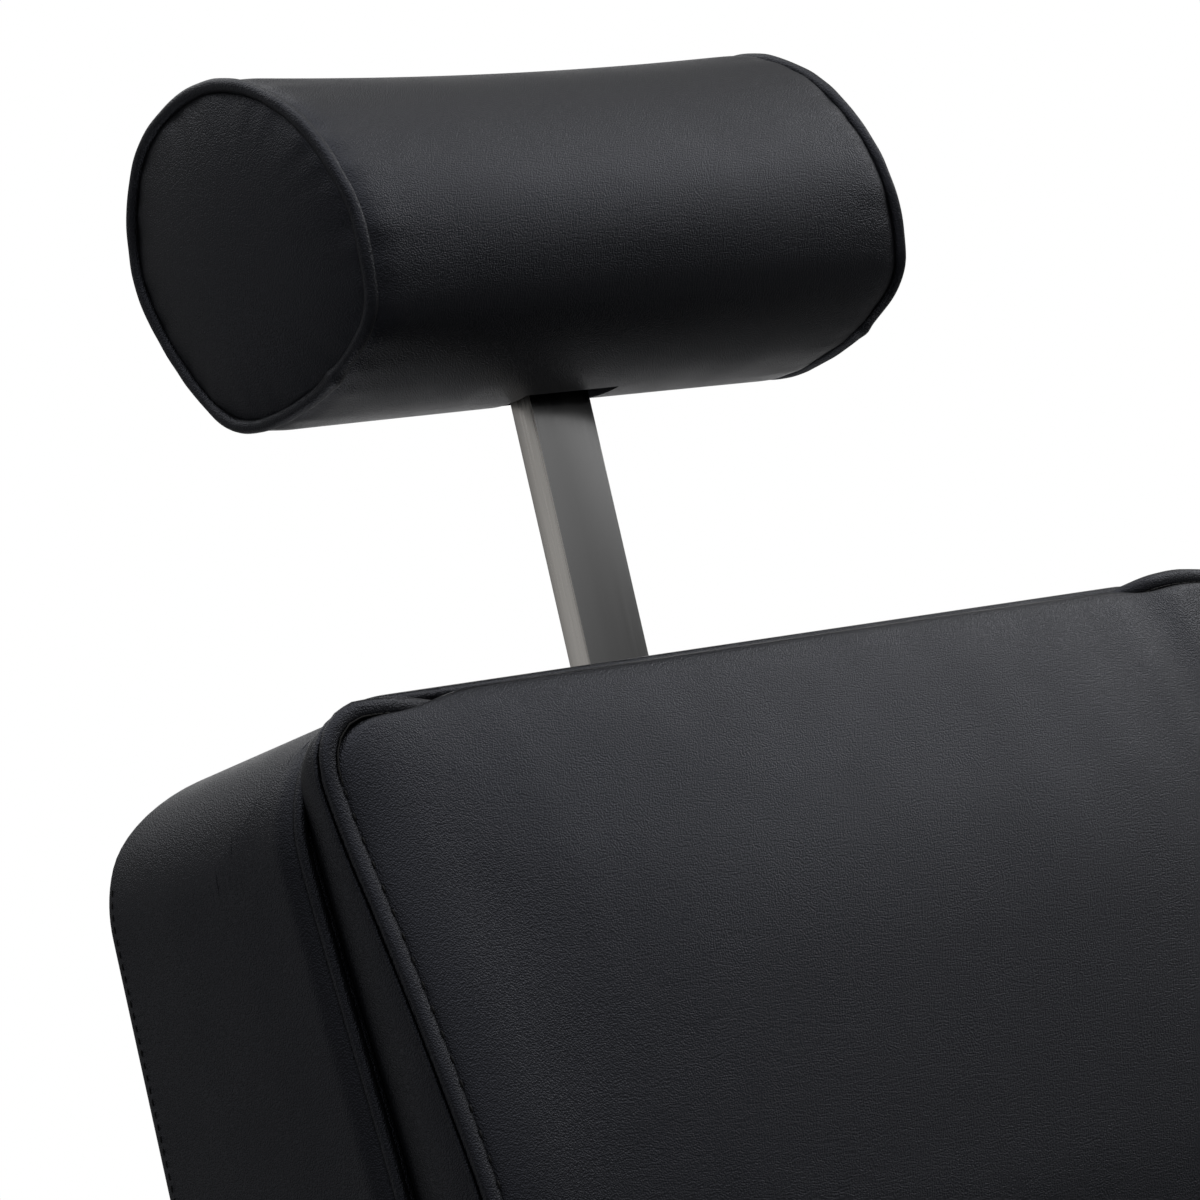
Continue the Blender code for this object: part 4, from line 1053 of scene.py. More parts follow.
class Finishes:
    """All the finishes of the chair, made once."""

    def __init__(self) -> None:
        """Makes each material."""
        grey = (0.012, 0.012, 0.012)
        brushed = {"streaks": (1500.0, 1500.0, 14.0), "lean": BACK_LEAN}
        self.leather = Leather().make()
        self.chrome = Metal("polished_chrome", (0.62, 0.62, 0.625), (0.05, 0.1)).make()
        # Painted reflection: the one brushed bar gets two copies of its metal. The dark grey one is painted
        # shade on its broad front and back faces, for the dark room ahead. The light warm one is painted
        # reflection on its narrow side faces, for the bright room beside it.
        self.bar = Metal("brushed_bar_painted_shade", (0.32, 0.32, 0.32), (0.14, 0.24), strength=0.12, **brushed).make()
        self.bar_painted_lit_sides = Metal("brushed_bar_painted_lit_sides", (0.77, 0.74, 0.70), (0.24, 0.4), strength=0.2, **brushed).make()
        self.steel = Metal("zinc_steel", (0.44, 0.44, 0.45), (0.28, 0.42)).make()
        self.black_steel = Coated(
            "black_powder_coat", grey, (0.019, 0.019, 0.019), (0.38, 0.5), grain=1500.0, depth=0.0001
        ).make()
        self.rubber = Coated(
            "black_rubber",
            (0.016, 0.016, 0.016),
            (0.026, 0.025, 0.025),
            (0.66, 0.84),
            grain=1200.0,
            depth=0.00012,
            strength=0.6,
            specular=0.25,
        ).make()
        self.plastic = Coated(
            "black_plastic",
            grey,
            (0.017, 0.017, 0.017),
            (0.26, 0.36),
            grain=2200.0,
            depth=0.00003,
            strength=0.3,
        ).make()
        self.thread = Coated(
            "black_thread",
            (0.006, 0.006, 0.006),
            (0.011, 0.011, 0.011),
            (0.55, 0.7),
            grain=2600.0,
            depth=0.00019,
            strength=0.7,
            specular=0.2,
        ).make()
        self.plywood = Plywood().make()


def coons(loop: np.ndarray, across: int, along: int) -> np.ndarray:
    """Fills a loop of four sides with a grid.

    Args:
        loop: 2 (across + along) points, anticlockwise from the low left corner.
        across: Steps of the lower and the upper side.
        along: Steps of the left and the right side.

    Returns:
        Points with the shape (along + 1, across + 1, 3).
    """
    ring = np.vstack([loop, loop[:1]])
    low = ring[: across + 1]
    right = ring[across : across + along + 1]
    high = ring[across + along : 2 * across + along + 1][::-1]
    left = ring[2 * across + along :][::-1]
    u = np.linspace(0, 1, across + 1)[None, :, None]
    v = np.linspace(0, 1, along + 1)[:, None, None]
    ruled = (1 - v) * low[None] + v * high[None] + (1 - u) * left[:, None] + u * right[:, None]
    corners = (1 - u) * (1 - v) * low[0] + u * (1 - v) * low[-1] + (1 - u) * v * high[0] + u * v * high[-1]
    return ruled - corners


@dataclass
class Cushion:
    """A boxed cushion: a crowned panel, a side band and a flat base, with seams round both edges."""

    name: str
    place: Place
    half_width: float
    low: float
    high: float
    base: float
    rise: float
    crown: float
    low_round: float = 0.03
    high_round: float = 0.03
    base_inset: float = 0.002
    edge_lift: float = 0.008
    edge_roll: float = 0.006
    edge_width: float = 0.035
    crown_width: float = 0.16
    band_bulge: float = 0.004
    cell: float = 0.007
    pressure: float = 4.0
    cap: float = 0.006
    shift: float = 0.0
    edge_power: float = 2.2
    crown_power: float = 2.0
    hem_half_width: float = 0.0036
    hem_half_thickness: float = 0.0024
    hem_out: float = 0.0032
    hem_unevenness: float = 0.035
    groove_depth: float = 0.2
    groove_width: float = 26.0
    cord_radius: float = 0.0013
    cord_in: float = 0.0058
    cord_out: float = 0.0048
    cord_unevenness: float = 0.04
    stitch_out: float = 0.0007
    stitch_lift: float = 0.0022
    thread_radius: float = 0.00034
    fewest_steps: int = 6
    hem_points: int = 620
    cord_points: int = 460
    stitch_points: int = 900

    def steps(self) -> tuple[int, int]:
        """Grid steps across and along the panel."""
        across = max(self.fewest_steps, round(2 * self.half_width / self.cell))
        return across, max(self.fewest_steps, round((self.high - self.low) / self.cell))

    def lie(self, loop: np.ndarray, height: Callable[[np.ndarray, np.ndarray], np.ndarray]) -> np.ndarray:
        """Lifts a flat loop to a height that may vary over it."""
        return np.column_stack([loop, height(loop[:, 0], loop[:, 1])])

    def base_height(self, across: np.ndarray, along: np.ndarray) -> np.ndarray:
        """Height of the cushion's base seam."""
        return np.full_like(across, self.base)

    def seam_height(self, across: np.ndarray, along: np.ndarray) -> np.ndarray:
        """Height of the panel's seam."""
        return self.base_height(across, along) + self.rise

    def flat_loop(self, inset: float = 0.0) -> np.ndarray:
        """The cushion's flat outline, drawn in.

        Args:
            inset: How far it is drawn in.

        Returns:
            The outline's (a, b) points.
        """
        edges = (self.half_width - inset, self.low + inset, self.high - inset)
        return rounded_loop(*edges, self.low_round, self.high_round, *self.steps())

    def seam_loop(self) -> np.ndarray:
        """The seam between the panel and the band."""
        return self.lie(self.flat_loop(), self.seam_height)

    def base_loop(self) -> np.ndarray:
        """The seam round the cushion's base."""
        return self.lie(self.flat_loop(self.base_inset), self.base_height)

    def rolls(self, panel: np.ndarray) -> np.ndarray:
        """How far the panel rolls out over its seam: at the left, right, low and high edge."""
        return np.broadcast_to(np.full(4, self.edge_roll), (*panel.shape[:2], 4))

    def panel(self, seam: np.ndarray) -> np.ndarray:
        """The crowned panel over its seam.

        Args:
            seam: The seam's loop.

        Returns:
            Grid points.
        """
        across, along = self.steps()
        grid = coons(seam, across, along)
        u = np.linspace(0, 1, across + 1)[None, :] * np.ones((along + 1, 1))
        v = np.linspace(0, 1, along + 1)[:, None] * np.ones((1, across + 1))
        width, length = 2 * self.half_width, self.high - self.low
        gaps = np.stack([u * width, (1 - u) * width, v * length, (1 - v) * length], axis=-1)
        quick = 1 - (1 - np.clip(gaps / self.edge_width, 0, 1)) ** self.edge_power
        slow = 1 - (1 - np.clip(gaps / self.crown_width, 0, 1)) ** self.crown_power
        lift = self.edge_lift * quick.prod(axis=-1) + self.crown * slow.prod(axis=-1)
        roll = self.rolls(grid) * np.sin(np.pi * np.clip(gaps / self.edge_width, 0, 1))
        others = np.stack([quick[..., 2] * quick[..., 3]] * 2 + [quick[..., 0] * quick[..., 1]] * 2, axis=-1)
        roll = roll * others
        grid[..., 0] += roll[..., 1] - roll[..., 0]
        grid[..., 1] += roll[..., 3] - roll[..., 2]
        grid[..., 2] += lift
        return grid

    def build(self) -> Object:
        """Makes the cushion, fills it and smooths it.

        Returns:
            The cushion's object.
        """
        across, along = self.steps()
        seam, base = self.seam_loop(), self.base_loop()
        count = len(seam)
        centre = seam.mean(axis=0)
        away = unit((seam - centre) * (1, 1, 0))
        rings = max(3, round(np.linalg.norm(seam - base, axis=1).max() / self.cell))
        loops = [seam]
        for k in range(1, rings):
            share = k / rings
            bulge = self.band_bulge * math.sin(math.pi * share)
            loops.append(seam + (base - seam) * share + away * bulge)
        loops.append(base)
        points = [np.vstack(loops)]
        top = self.panel(seam)[1:-1, 1:-1].reshape(-1, 3)
        floor = coons(base, across, along)[1:-1, 1:-1].reshape(-1, 3)
        first_top = len(points[0])
        first_floor = first_top + len(top)
        points += [top, floor]
        faces = []
        for ring in range(rings):
            for k in range(count):
                after = (k + 1) % count
                here, below = ring * count, (ring + 1) * count
                faces.append((below + k, below + after, here + after, here + k))

        def at(i: int, j: int, loop_start: int, first: int) -> int:
            """Number of a grid's vertex.

            Args:
                i: Step across.
                j: Step along.
                loop_start: Number of the first vertex of the loop round the grid.
                first: Number of the first vertex inside the loop.

            Returns:
                The vertex's number.
            """
            if j == 0:
                return loop_start + i
            if i == across:
                return loop_start + across + j
            if j == along:
                return loop_start + across + along + across - i
            if i == 0:
                return loop_start + (2 * across + along + along - j) % count
            return first + (j - 1) * (across - 1) + i - 1

        for j in range(along):
            for i in range(across):
                cells = ((i, j), (i + 1, j), (i + 1, j + 1), (i, j + 1))
                faces.append([at(*cell, 0, first_top) for cell in cells])
                faces.append([at(*cell, rings * count, first_floor) for cell in cells][::-1])
        points = np.vstack(points)
        points[:, 0] += self.shift
        obj = Bench.mesh(self.name, points, faces, self.place.matrix())
        pinned = np.zeros(len(points), bool)
        pinned[:count] = True
        pinned[rings * count : first_top] = True
        pinned[first_floor:] = True
        swell(obj, pinned, self.pressure, self.cap)
        Bench.subdivide(obj)
        return obj

    def outward(self, loop: np.ndarray) -> np.ndarray:
        """Directions out of a seam's loop, level with the panel."""
        return unit(np.cross(directions(loop, True), OUT))

    def shifted(self, loop: np.ndarray) -> np.ndarray:
        """A loop at the cushion's own place across the chair."""
        return loop + np.array([self.shift, 0.0, 0.0])

    def uneven(self, count: int, share: float, waves: int, seed: float) -> np.ndarray:
        """Small changes of a cord's size along it.

        Args:
            count: Points along the cord.
            share: Height of the changes.
            waves: How often the wave runs round the cord.
            seed: Shifts the wave.

        Returns:
            The cord's size at each point.
        """
        return 1 + share * ripple(np.linspace(0, 2 * np.pi, count, endpoint=False) * waves, seed)

    def hem(self, size: float) -> Object:
        """The topstitched hem that runs round the panel's seam, with a groove along its stitches.

        Args:
            size: Scale of the hem.

        Returns:
            The hem.
        """
        seam = resample(self.shifted(self.seam_loop()), self.hem_points, True)
        away = self.outward(seam)
        path = seam + away * self.hem_out * size
        around, profile = 16, []
        for k in range(around):
            turn = 2 * math.pi * k / around
            dent = 1 - self.groove_depth * math.exp(-(((math.degrees(turn) - 90) / self.groove_width) ** 2))
            thickness = self.hem_half_thickness * size * dent
            profile.append((self.hem_half_width * size * math.cos(turn), thickness * math.sin(turn)))
        scale = self.uneven(len(seam), self.hem_unevenness, 4, 1.3)
        return Bench.sweep(f"{self.name}_hem", path, away, profile, True, scale, self.place.matrix())

    def piping(self, suffix: str, loop: np.ndarray, radius: float) -> Object:
        """A corded seam round the cushion.

        Args:
            suffix: End of the piece's name.
            loop: The cord's path.
            radius: The cord's radius.

        Returns:
            The piping.
        """
        path = resample(loop, self.cord_points, True)
        scale = self.uneven(len(path), self.cord_unevenness, 3, 2.1)
        name, profile = f"{self.name}_{suffix}", round_profile(radius)
        return Bench.sweep(name, path, self.outward(path), profile, True, scale, self.place.matrix())

    def stitches(self, size: float) -> Object:
        """The hem's row of stitches.

        Args:
            size: Scale of the hem.

        Returns:
            The stitches.
        """
        seam = resample(self.shifted(self.seam_loop()), self.stitch_points, True)
        away = self.outward(seam)
        path = seam + away * self.stitch_out * size + OUT * self.stitch_lift * size
        out = away * 0.35 + OUT
        name = f"{self.name}_stitches"
        return stitch_row(name, path, out, True, self.place.matrix(), radius=self.thread_radius)

    def build_trim(self, finishes: Finishes, body: Body, size: float = 1.0) -> None:
        """Builds and dresses the hem, the cord behind it and the stitches.

        Args:
            finishes: The chair's finishes.
            body: Body that the cushion rides on.
            size: Scale of the trim.
        """
        Bench.dress(self.hem(size), finishes.leather, body, Slot.LEATHER)
        seam = self.seam_loop()
        inward = unit(self.base_loop() - seam)
        edge = self.shifted(seam + inward * self.cord_in * size + self.outward(seam) * self.cord_out * size)
        cord = self.piping("edge_cord", edge, self.cord_radius * size)
        Bench.dress(cord, finishes.leather, body, Slot.LEATHER)
        Bench.dress(self.stitches(size), finishes.thread, body, Slot.LEATHER)

    def build_padded(self, finishes: Finishes, body: Body, node: str, fill: float, size: float = 1.0) -> None:
        """Builds the cushion with its trim, and dresses them.

        Args:
            finishes: The chair's finishes.
            body: Body that the cushion rides on.
            node: CAD node that it stands for.
            fill: How full its padding is; not used.
            size: Scale of the trim.
        """
        pad = Bench.dress(self.build(), finishes.leather, body, Slot.LEATHER, [node])
        self.build_trim(finishes, body, size)


def bow(along: np.ndarray) -> np.ndarray:
    """How far the back bows forward at a height along it.

    Args:
        along: Heights along the back.

    Returns:
        Forward shift in metres.
    """
    depth = 0.0145
    return depth * smooth(0.66, 0.45, along) * smooth(0.05, 0.26, along)


@dataclass
class BackCushion(Cushion):
    """The back's front cushion: thin at its head, with two raised corners and a sunk hem between them."""

    front: float = 0.0323
    gap: float = 0.0006
    sunk: float = 0.009
    sunk_from: Pair = (0.64, 0.66)
    head_fill: float = 0.0105
    head_fill_from: Pair = (0.47, 0.615)
    head_roll: float = 0.052
    head_top: float = 0.6703
    head_from: Pair = (0.63, 0.662)
    head_edge_roll: float = 0.005
    dip: float = 0.006
    middle_dip: float = 0.0015
    left_ear: float = 0.002
    left_ear_at: float = -0.222
    left_ear_width: float = 0.03
    right_ear: float = 0.006
    right_ear_at: float = 0.203
    right_ear_width: float = 0.036
    middle_left: Pair = (-0.22, -0.17)
    middle_right: Pair = (0.192, 0.16)
    between_left: Pair = (-0.2, -0.125)
    between_right: Pair = (0.183, 0.113)
    heights: tuple[float, ...] = (0.085, 0.12, 0.2, 0.44, 0.49, 0.537, 0.581, 0.618, 0.646, 0.68)
    depths: tuple[float, ...] = (0.029, 0.044, 0.051, 0.0505, 0.0475, 0.0415, 0.036, 0.0285, 0.0225, 0.021)
    evening: float = 0.03

    def base_height(self, across: np.ndarray, along: np.ndarray) -> np.ndarray:
        """Follows the casing's bowed rim."""
        return self.front + self.gap + bow(along)

    def middle(self, across: np.ndarray) -> np.ndarray:
        """1 between the raised corners, 0 at them."""
        return smooth(*self.middle_left, across) * smooth(*self.middle_right, across)

    def between(self, across: np.ndarray) -> np.ndarray:
        """1 where the panel hides the hem, 0 from there to the raised corners."""
        return smooth(*self.between_left, across) * smooth(*self.between_right, across)

    def seam_height(self, across: np.ndarray, along: np.ndarray) -> np.ndarray:
        """Thickness from the head down, and the hem's sinking at the head.

        Args:
            across: Places across the back.
            along: Heights along it.

        Returns:
            The seam's height at each place.
        """
        sunk = self.sunk * smooth(*self.sunk_from, along) * self.middle(across)
        spread = np.linspace(-self.evening, self.evening, 13)
        depth = np.mean([np.interp(along + offset, self.heights, self.depths) for offset in spread], axis=0)
        return self.base_height(across, along) + depth - sunk

    def seam_loop(self) -> np.ndarray:
        """The seam with its two raised corners.

        Returns:
            The seam's points.
        """
        loop = self.flat_loop()
        across = loop[:, 0]
        head = smooth(*self.head_from, loop[:, 1])
        left = self.left_ear * np.exp(-(((across - self.left_ear_at) / self.left_ear_width) ** 2))
        right = self.right_ear * np.exp(-(((across - self.right_ear_at) / self.right_ear_width) ** 2))
        sunk = self.middle_dip * self.middle(across) + self.dip * self.between(across)
        loop[:, 1] += head * (left + right - sunk)
        return self.lie(loop, self.seam_height)

    def rolls(self, panel: np.ndarray) -> np.ndarray:
        """The panel rolls over the hem a little at the raised corners.

        Args:
            panel: The panel's grid.

        Returns:
            How far it rolls at the left, right, low and high edge.
        """
        rolls = np.full((*panel.shape[:2], 4), self.edge_roll)
        rolls[..., 3] = self.head_edge_roll
        return rolls

    def panel(self, seam: np.ndarray) -> np.ndarray:
        """The panel, full below its head and rolled over the hem between the raised corners.

        Args:
            seam: The seam's loop.

        Returns:
            Grid points.
        """
        grid = super().panel(seam)
        outer, inner = self.half_width - 0.001, self.half_width - 0.022
        middle = smooth(outer, inner, np.abs(grid[..., 0]))[..., None]
        along = np.linspace(self.low, self.high, grid.shape[0])
        sides = 1 - np.clip(np.abs(grid[..., 0]) / self.half_width, 0, 1) ** 3
        grid[..., 2] += self.head_fill * smooth(*self.head_fill_from, along)[:, None] * sides
        level = (along - self.low) / (self.high - self.low)
        grid[:-1, :, 2] += self.sunk * level[:-1, None] * self.middle(grid[:-1, :, 0])
        first = int(np.searchsorted(along, self.high - self.head_roll))
        share = (along[first:] - along[first]) / (self.high - along[first])
        body, slope = grid[first], grid[first] - grid[first - 1]
        slope = slope[:, 2] / slope[:, 1]
        span = grid[-1, :, 1] - body[:, 1]
        least_rise = 0.0008
        rise = np.maximum(self.head_top - grid[-1, :, 1], 0.0)
        reach = span + least_rise + rise * self.middle(grid[-1, :, 0])
        end = np.pi - np.arcsin(np.clip(span / reach, 0.0, 0.999))
        drop = (body[:, 2] + slope * span - grid[-1, :, 2]) / (1 - np.cos(end))
        turn = share[:, None] * end
        rolled = grid[first:].copy()
        rolled[..., 1] = body[:, 1] + reach * np.sin(turn)
        rolled[..., 2] = body[:, 2] + slope * reach * np.sin(turn) - drop * (1 - np.cos(turn))
        grid[first:] += (rolled - grid[first:]) * middle[first:]
        return grid


def quarter_loop(corners: Sequence[Triple], steps: int = 9) -> np.ndarray:
    """A loop of straight sides with rounded right-angled corners.

    Args:
        corners: (u, v, radius) of each corner, in order.
        steps: Points round each corner, less one.

    Returns:
        The loop's points.
    """
    points = []
    for k, (u, v, radius) in enumerate(corners):
        here = np.array([u, v])
        before = unit(np.array(corners[k - 1][:2]) - here)
        after = unit(np.array(corners[(k + 1) % len(corners)][:2]) - here)
        middle = here + (before + after) * radius
        for step in range(steps + 1):
            turn = math.pi / 2 * step / steps
            points.append(middle - radius * (after * math.cos(turn) + before * math.sin(turn)))
    return np.array(points)


@dataclass
class Back:
    """The back: padded casing with a piped rim, and the cushion in front of it."""

    half_width: float = 0.25
    top: float = 0.6705
    bottom: float = 0.05
    front: float = 0.0323
    rear: float = -0.0822
    shoulder: float = 0.05
    edge_round: float = 0.0045
    front_round: float = 0.012
    lip_round: float = 0.004
    top_round: float = 0.025
    bottom_round: float = 0.028
    fall: float = 0.06
    bulge: float = 0.0016
    stitch_inset: float = 0.0052
    stitch_top: float = 0.632
    stitch_width: float = 0.02
    thread_radius: float = 0.00026
    welt: float = 0.0027
    welt_round: float = 0.02
    welt_points: int = 620
    welt_inset: float = 0.0047
    welt_low: float = 0.0046
    welt_high: float = 0.0014
    welt_sunk: float = 0.0007
    least_lip: float = 0.0012
    least_round: float = 0.004
    front_blend: Pair = (0.02, 0.006)
    low_blend: float = 0.03
    bulge_width: float = 0.04
    fall_from: Pair = (0.5, 0.62)
    skin_inset: float = 0.0515
    skin_power: float = 1.7
    skin_rows: int = 25
    rear_fill: float = 0.0022
    rear_from: Pair = (-0.055, -0.085)
    hollow: tuple[Triple, Triple] = ((-0.2305, 0.097, -0.0687), (0.2305, 0.647, 0.09))
    mouth: tuple[Triple, Triple] = ((-0.0195, 0.6, -0.0685), (0.0195, 0.72, -0.0495))
    slit: tuple[Triple, Triple] = ((0.2217, 0.02, -0.0156), (0.2295, 0.13, 0.0156))

    def row(self, inset: float, count: int = 420) -> tuple[np.ndarray, np.ndarray]:
        """One line of the casing's skin, drawn in from its side outline.

        Args:
            inset: How far the line is drawn in.
            count: Points of the line.

        Returns:
            How far across each point reaches, and its (b, c) place.
        """
        low, top = self.bottom + inset, self.top - inset
        front, rear = self.front - inset, self.rear + inset
        lip = max(self.lip_round - inset, self.least_lip)
        crest = max(self.top_round - inset, self.least_round)
        foot = max(self.bottom_round - inset, self.least_round)
        corners = ((low, front, lip), (top, front, lip), (top, rear, crest), (low, rear, foot))
        b, c = resample(quarter_loop(corners), count, True).T
        below = np.clip(self.top - b, 0.0, self.shoulder)
        short = self.shoulder - np.sqrt(self.shoulder**2 - (self.shoulder - below) ** 2)
        ahead = smooth(self.front - self.front_blend[0], self.front - self.front_blend[1], c)
        behind, below_edge = smooth(rear + crest, rear, c), smooth(low + self.low_blend, low, b)
        side = np.maximum(ahead, np.maximum(behind, below_edge))
        radius = self.edge_round + (self.front_round - self.edge_round) * ahead
        turn = radius - np.sqrt(radius**2 - np.clip(radius - inset, 0.0, None) ** 2)
        across = self.half_width + self.bulge * min(1.0, inset / self.bulge_width) - short - side * turn
        b = b - self.fall * (self.front - c) * smooth(*self.fall_from, b)
        c = c + bow(b) * (c - self.rear) / (self.front - self.rear)
        return across, np.column_stack([b, c])

    def build_casing(self) -> Object:
        """The casing's skin, hollow behind the cushion.

        Returns:
            The casing.
        """
        shares = np.linspace(0, 1, self.skin_rows)
        rows = [self.row(self.skin_inset * (1 - share) ** self.skin_power) for share in shares]
        edge, whole = rows[-1]
        for share in np.linspace(1, 0, self.skin_rows)[1:]:
            section = whole.copy()
            rearward = smooth(*self.rear_from, section[:, 1])
            section[:, 1] -= self.rear_fill * (1 - share**2) * rearward
            rows.append((edge * share, section))
        rows = [(-across, section) for across, section in rows] + rows[-2::-1]
        around = len(whole)
        points = np.vstack([np.column_stack([across, section]) for across, section in rows])
        faces = [tuple(range(around)), tuple((len(rows) - 1) * around + k for k in range(around))[::-1]]
        for row in range(len(rows) - 1):
            for k in range(around):
                after = (k + 1) % around
                here, there = row * around, (row + 1) * around
                faces.append((here + k, there + k, there + after, here + after))
        matrix = BACK_PLACE.matrix()
        obj = Bench.mesh("back_casing_skin", points, faces, matrix)
        Bench.face_out(obj)
        (inner, *slit_low), (outer, *slit_high) = self.slit
        other_slit = ((-outer, *slit_low), (-inner, *slit_high))
        for low, high in (self.hollow, self.mouth, other_slit, self.slit):
            Bench.carve(obj, Bench.block("cutter", low, high, matrix))
        return obj

    def rim(self) -> np.ndarray:
        """The path of the welt round the casing's front rim.

        Returns:
            The path's points.
        """
        half = self.half_width - self.welt_inset
        low, high = self.bottom + self.welt_low, self.top + self.welt_high
        loop = rounded_loop(half, low, high, self.welt_round, self.shoulder, 120, 150)
        return np.column_stack([loop, self.front - self.welt_sunk + bow(loop[:, 1])])

    def build_stitches(self, side: int) -> Object:
        """Topstitching along the rear edge of one side.

        Args:
            side: -1 for the sitter's right, 1 for the left.

        Returns:
            The stitches.
        """
        across, section = self.row(self.stitch_inset)
        behind = (section[:, 1] < self.rear + self.stitch_width) & (section[:, 0] < self.stitch_top)
        line = np.column_stack([side * (across + 0.0001), section])
        first = int(np.flatnonzero(behind & ~np.roll(behind, 1))[0])
        line = np.roll(line, -first, axis=0)[: int(behind.sum())]
        out = np.tile(np.array([side * 0.95, 0.0, -0.3]), (len(line), 1))
        name = f"casing_stitches_{SIDES[side]}"
        return stitch_row(name, line, out, False, BACK_PLACE.matrix(), radius=self.thread_radius)

    def build(self, finishes: Finishes) -> None:
        """Builds the whole back and dresses it.

        Args:
            finishes: The chair's finishes.
        """
        leather, thread = finishes.leather, finishes.thread
        casing = self.build_casing()
        Bench.dress(casing, leather, Body.BACK, Slot.LEATHER, ["back_casing"], 40)
        path = resample(self.rim(), self.welt_points, True)
        away = unit(np.cross(directions(path, True), OUT))
        profile = round_profile(self.welt)
        welt = Bench.sweep("casing_rim_welt", path, away, profile, matrix=BACK_PLACE.matrix())
        Bench.dress(welt, leather, Body.BACK, Slot.LEATHER)
        for side in SIDES:
            Bench.dress(self.build_stitches(side), thread, Body.BACK, Slot.LEATHER)
        cushion = BackCushion(
            "back_pad", BACK_PLACE, half_width=0.2432, low=0.092, high=0.6625, base=self.front, rise=0.05,
            crown=0.009, low_round=0.03, high_round=0.018, base_inset=0.0015, edge_lift=0.0055,
            edge_roll=0.003, edge_width=0.034, crown_width=0.2, band_bulge=0.005, cell=0.0062, cap=0.003,
        )
        cushion.build_padded(finishes, Body.BACK, "back_cushion", 0.8)


@dataclass
class Headrest:
    """The bolster with its two piped end panels, and the flat bar that carries it."""

    half_length: float = 0.1385
    behind: float = 0.0544
    height: float = 0.856
    sag: float = 0.0035
    draw_in: float = 0.0034
    draw_width: float = 0.013
    sag_height: float = 0.069
    dome: float = 0.0105
    dome_powers: Pair = (2.2, 0.75)
    pressure: float = 3.0
    cap: float = 0.0022
    cord: float = 0.0027
    cord_out: float = 0.0011
    cord_wander: float = 0.0004
    cord_unevenness: float = 0.05
    joint_angle: float = math.radians(148)
    joint_radius: float = 0.065
    joint_length: float = 0.0035
    joint_size: float = 0.3
    pucker_depth: float = 0.0007
    pucker_reach: float = 0.013
    end_pucker_depth: float = 0.0009
    end_pucker_reach: float = 0.007
    bar_low: Triple = (-0.016, 0.527, -0.065)
    bar_high: Triple = (0.016, 0.811, -0.053)
    bar_ease: float = 0.0009
    pocket_gap: float = 0.0085
    pocket_from: float = 0.1
    pocket_to: float = 0.0342
    around: int = 144
    rows: int = 53
    crowding: float = 0.35
    end_shares: tuple[float, ...] = (0.985, 0.955, 0.91, 0.85, 0.77, 0.67, 0.55, 0.42, 0.28, 0.14)
    outline: tuple[Pair, ...] = (
        (-0.0694, -0.024),
        (-0.067, 0.009),
        (-0.0476, 0.043),
        (-0.017, 0.065),
        (0.017, 0.0695),
        (0.05, 0.055),
        (0.0672, 0.019),
        (0.06, -0.019),
        (0.038, -0.053),
        (0.0135, -0.0647),
        (-0.027, -0.061),
        (-0.0605, -0.045),
    )

    def section(self, inset: float) -> np.ndarray:
        """The bolster's section, drawn in.

        Args:
            inset: How far it is drawn in.

        Returns:
            (b, c) points about its middle.
        """
        loop = closed_spline([(w, -n) for n, w in self.outline], self.around)
        forward = directions(loop, True)
        normal = np.column_stack([forward[:, 1], -forward[:, 0]])
        normal *= np.sign(np.sum(normal * loop, axis=1).mean())
        return loop - normal * inset

    def spot(self, across: np.ndarray, loop: np.ndarray) -> np.ndarray:
        """Points of a section at a place across, in the back's place."""
        return np.column_stack([across, loop[:, 0] + self.height, loop[:, 1] - self.behind])

    def build_pad(self) -> Object:
        """The bolster's body and its two end panels as one filled piece.

        Returns:
            The pad.
        """
        half, around = self.half_length, self.around
        turns = np.linspace(-1, 1, self.rows)
        stations = half * np.sin(turns * np.pi / 2) * self.crowding + half * turns * (1 - self.crowding)
        edge = self.section(self.draw_in)
        middle = edge.mean(axis=0)
        panels = []
        inner, outer = self.dome_powers
        for q in self.end_shares:
            panels.append((middle + (edge - middle) * q, half + self.dome * (1 - q**inner) ** outer))
        rings = [self.spot(np.full(around, -x), loop) for loop, x in panels[::-1]]
        for x in stations:
            share = 1 - min((half - abs(x)) / self.draw_width, 1.0)
            inset = self.draw_in * (1 - math.sqrt(max(0.0, 1 - share * share)))
            loop = self.section(inset)
            loop[:, 0] -= self.sag * (1 - (x / half) ** 2) * np.clip(loop[:, 0] / self.sag_height, 0, 1)
            rings.append(self.spot(np.full(around, x), loop))
        rings += [self.spot(np.full(around, x), loop) for loop, x in panels]
        poles = [self.spot(np.array([s * (half + self.dome)]), middle[None])[0] for s in (-1, 1)]
        points = np.vstack([*rings, poles])
        faces = []
        for row in range(len(rings) - 1):
            here, there = row * around, (row + 1) * around
            for k in range(around):
                after = (k + 1) % around
                faces.append((here + k, here + after, there + after, there + k))
        last = (len(rings) - 1) * around
        for k in range(around):
            after = (k + 1) % around
            faces.append((len(points) - 2, after, k))
            faces.append((len(points) - 1, last + k, last + after))
        matrix = BACK_PLACE.matrix()
        obj = Bench.mesh("headrest_bolster", points, faces, matrix)
        Bench.face_out(obj)
        pinned = np.zeros(len(points), bool)
        for seam in (len(panels), len(panels) + self.rows - 1):
            pinned[seam * around : (seam + 1) * around] = True
        swell(obj, pinned, self.pressure, self.cap)
        Bench.subdivide(obj)
        self.pucker(obj)
        gap = self.pocket_gap
        low = (self.bar_low[0] - gap, self.height - self.pocket_from, self.bar_low[2] - gap)
        high = (self.bar_high[0] + gap, self.height - self.pocket_to, self.bar_high[2] + gap)
        Bench.carve(obj, Bench.block("pocket", low, high, matrix))
        return obj

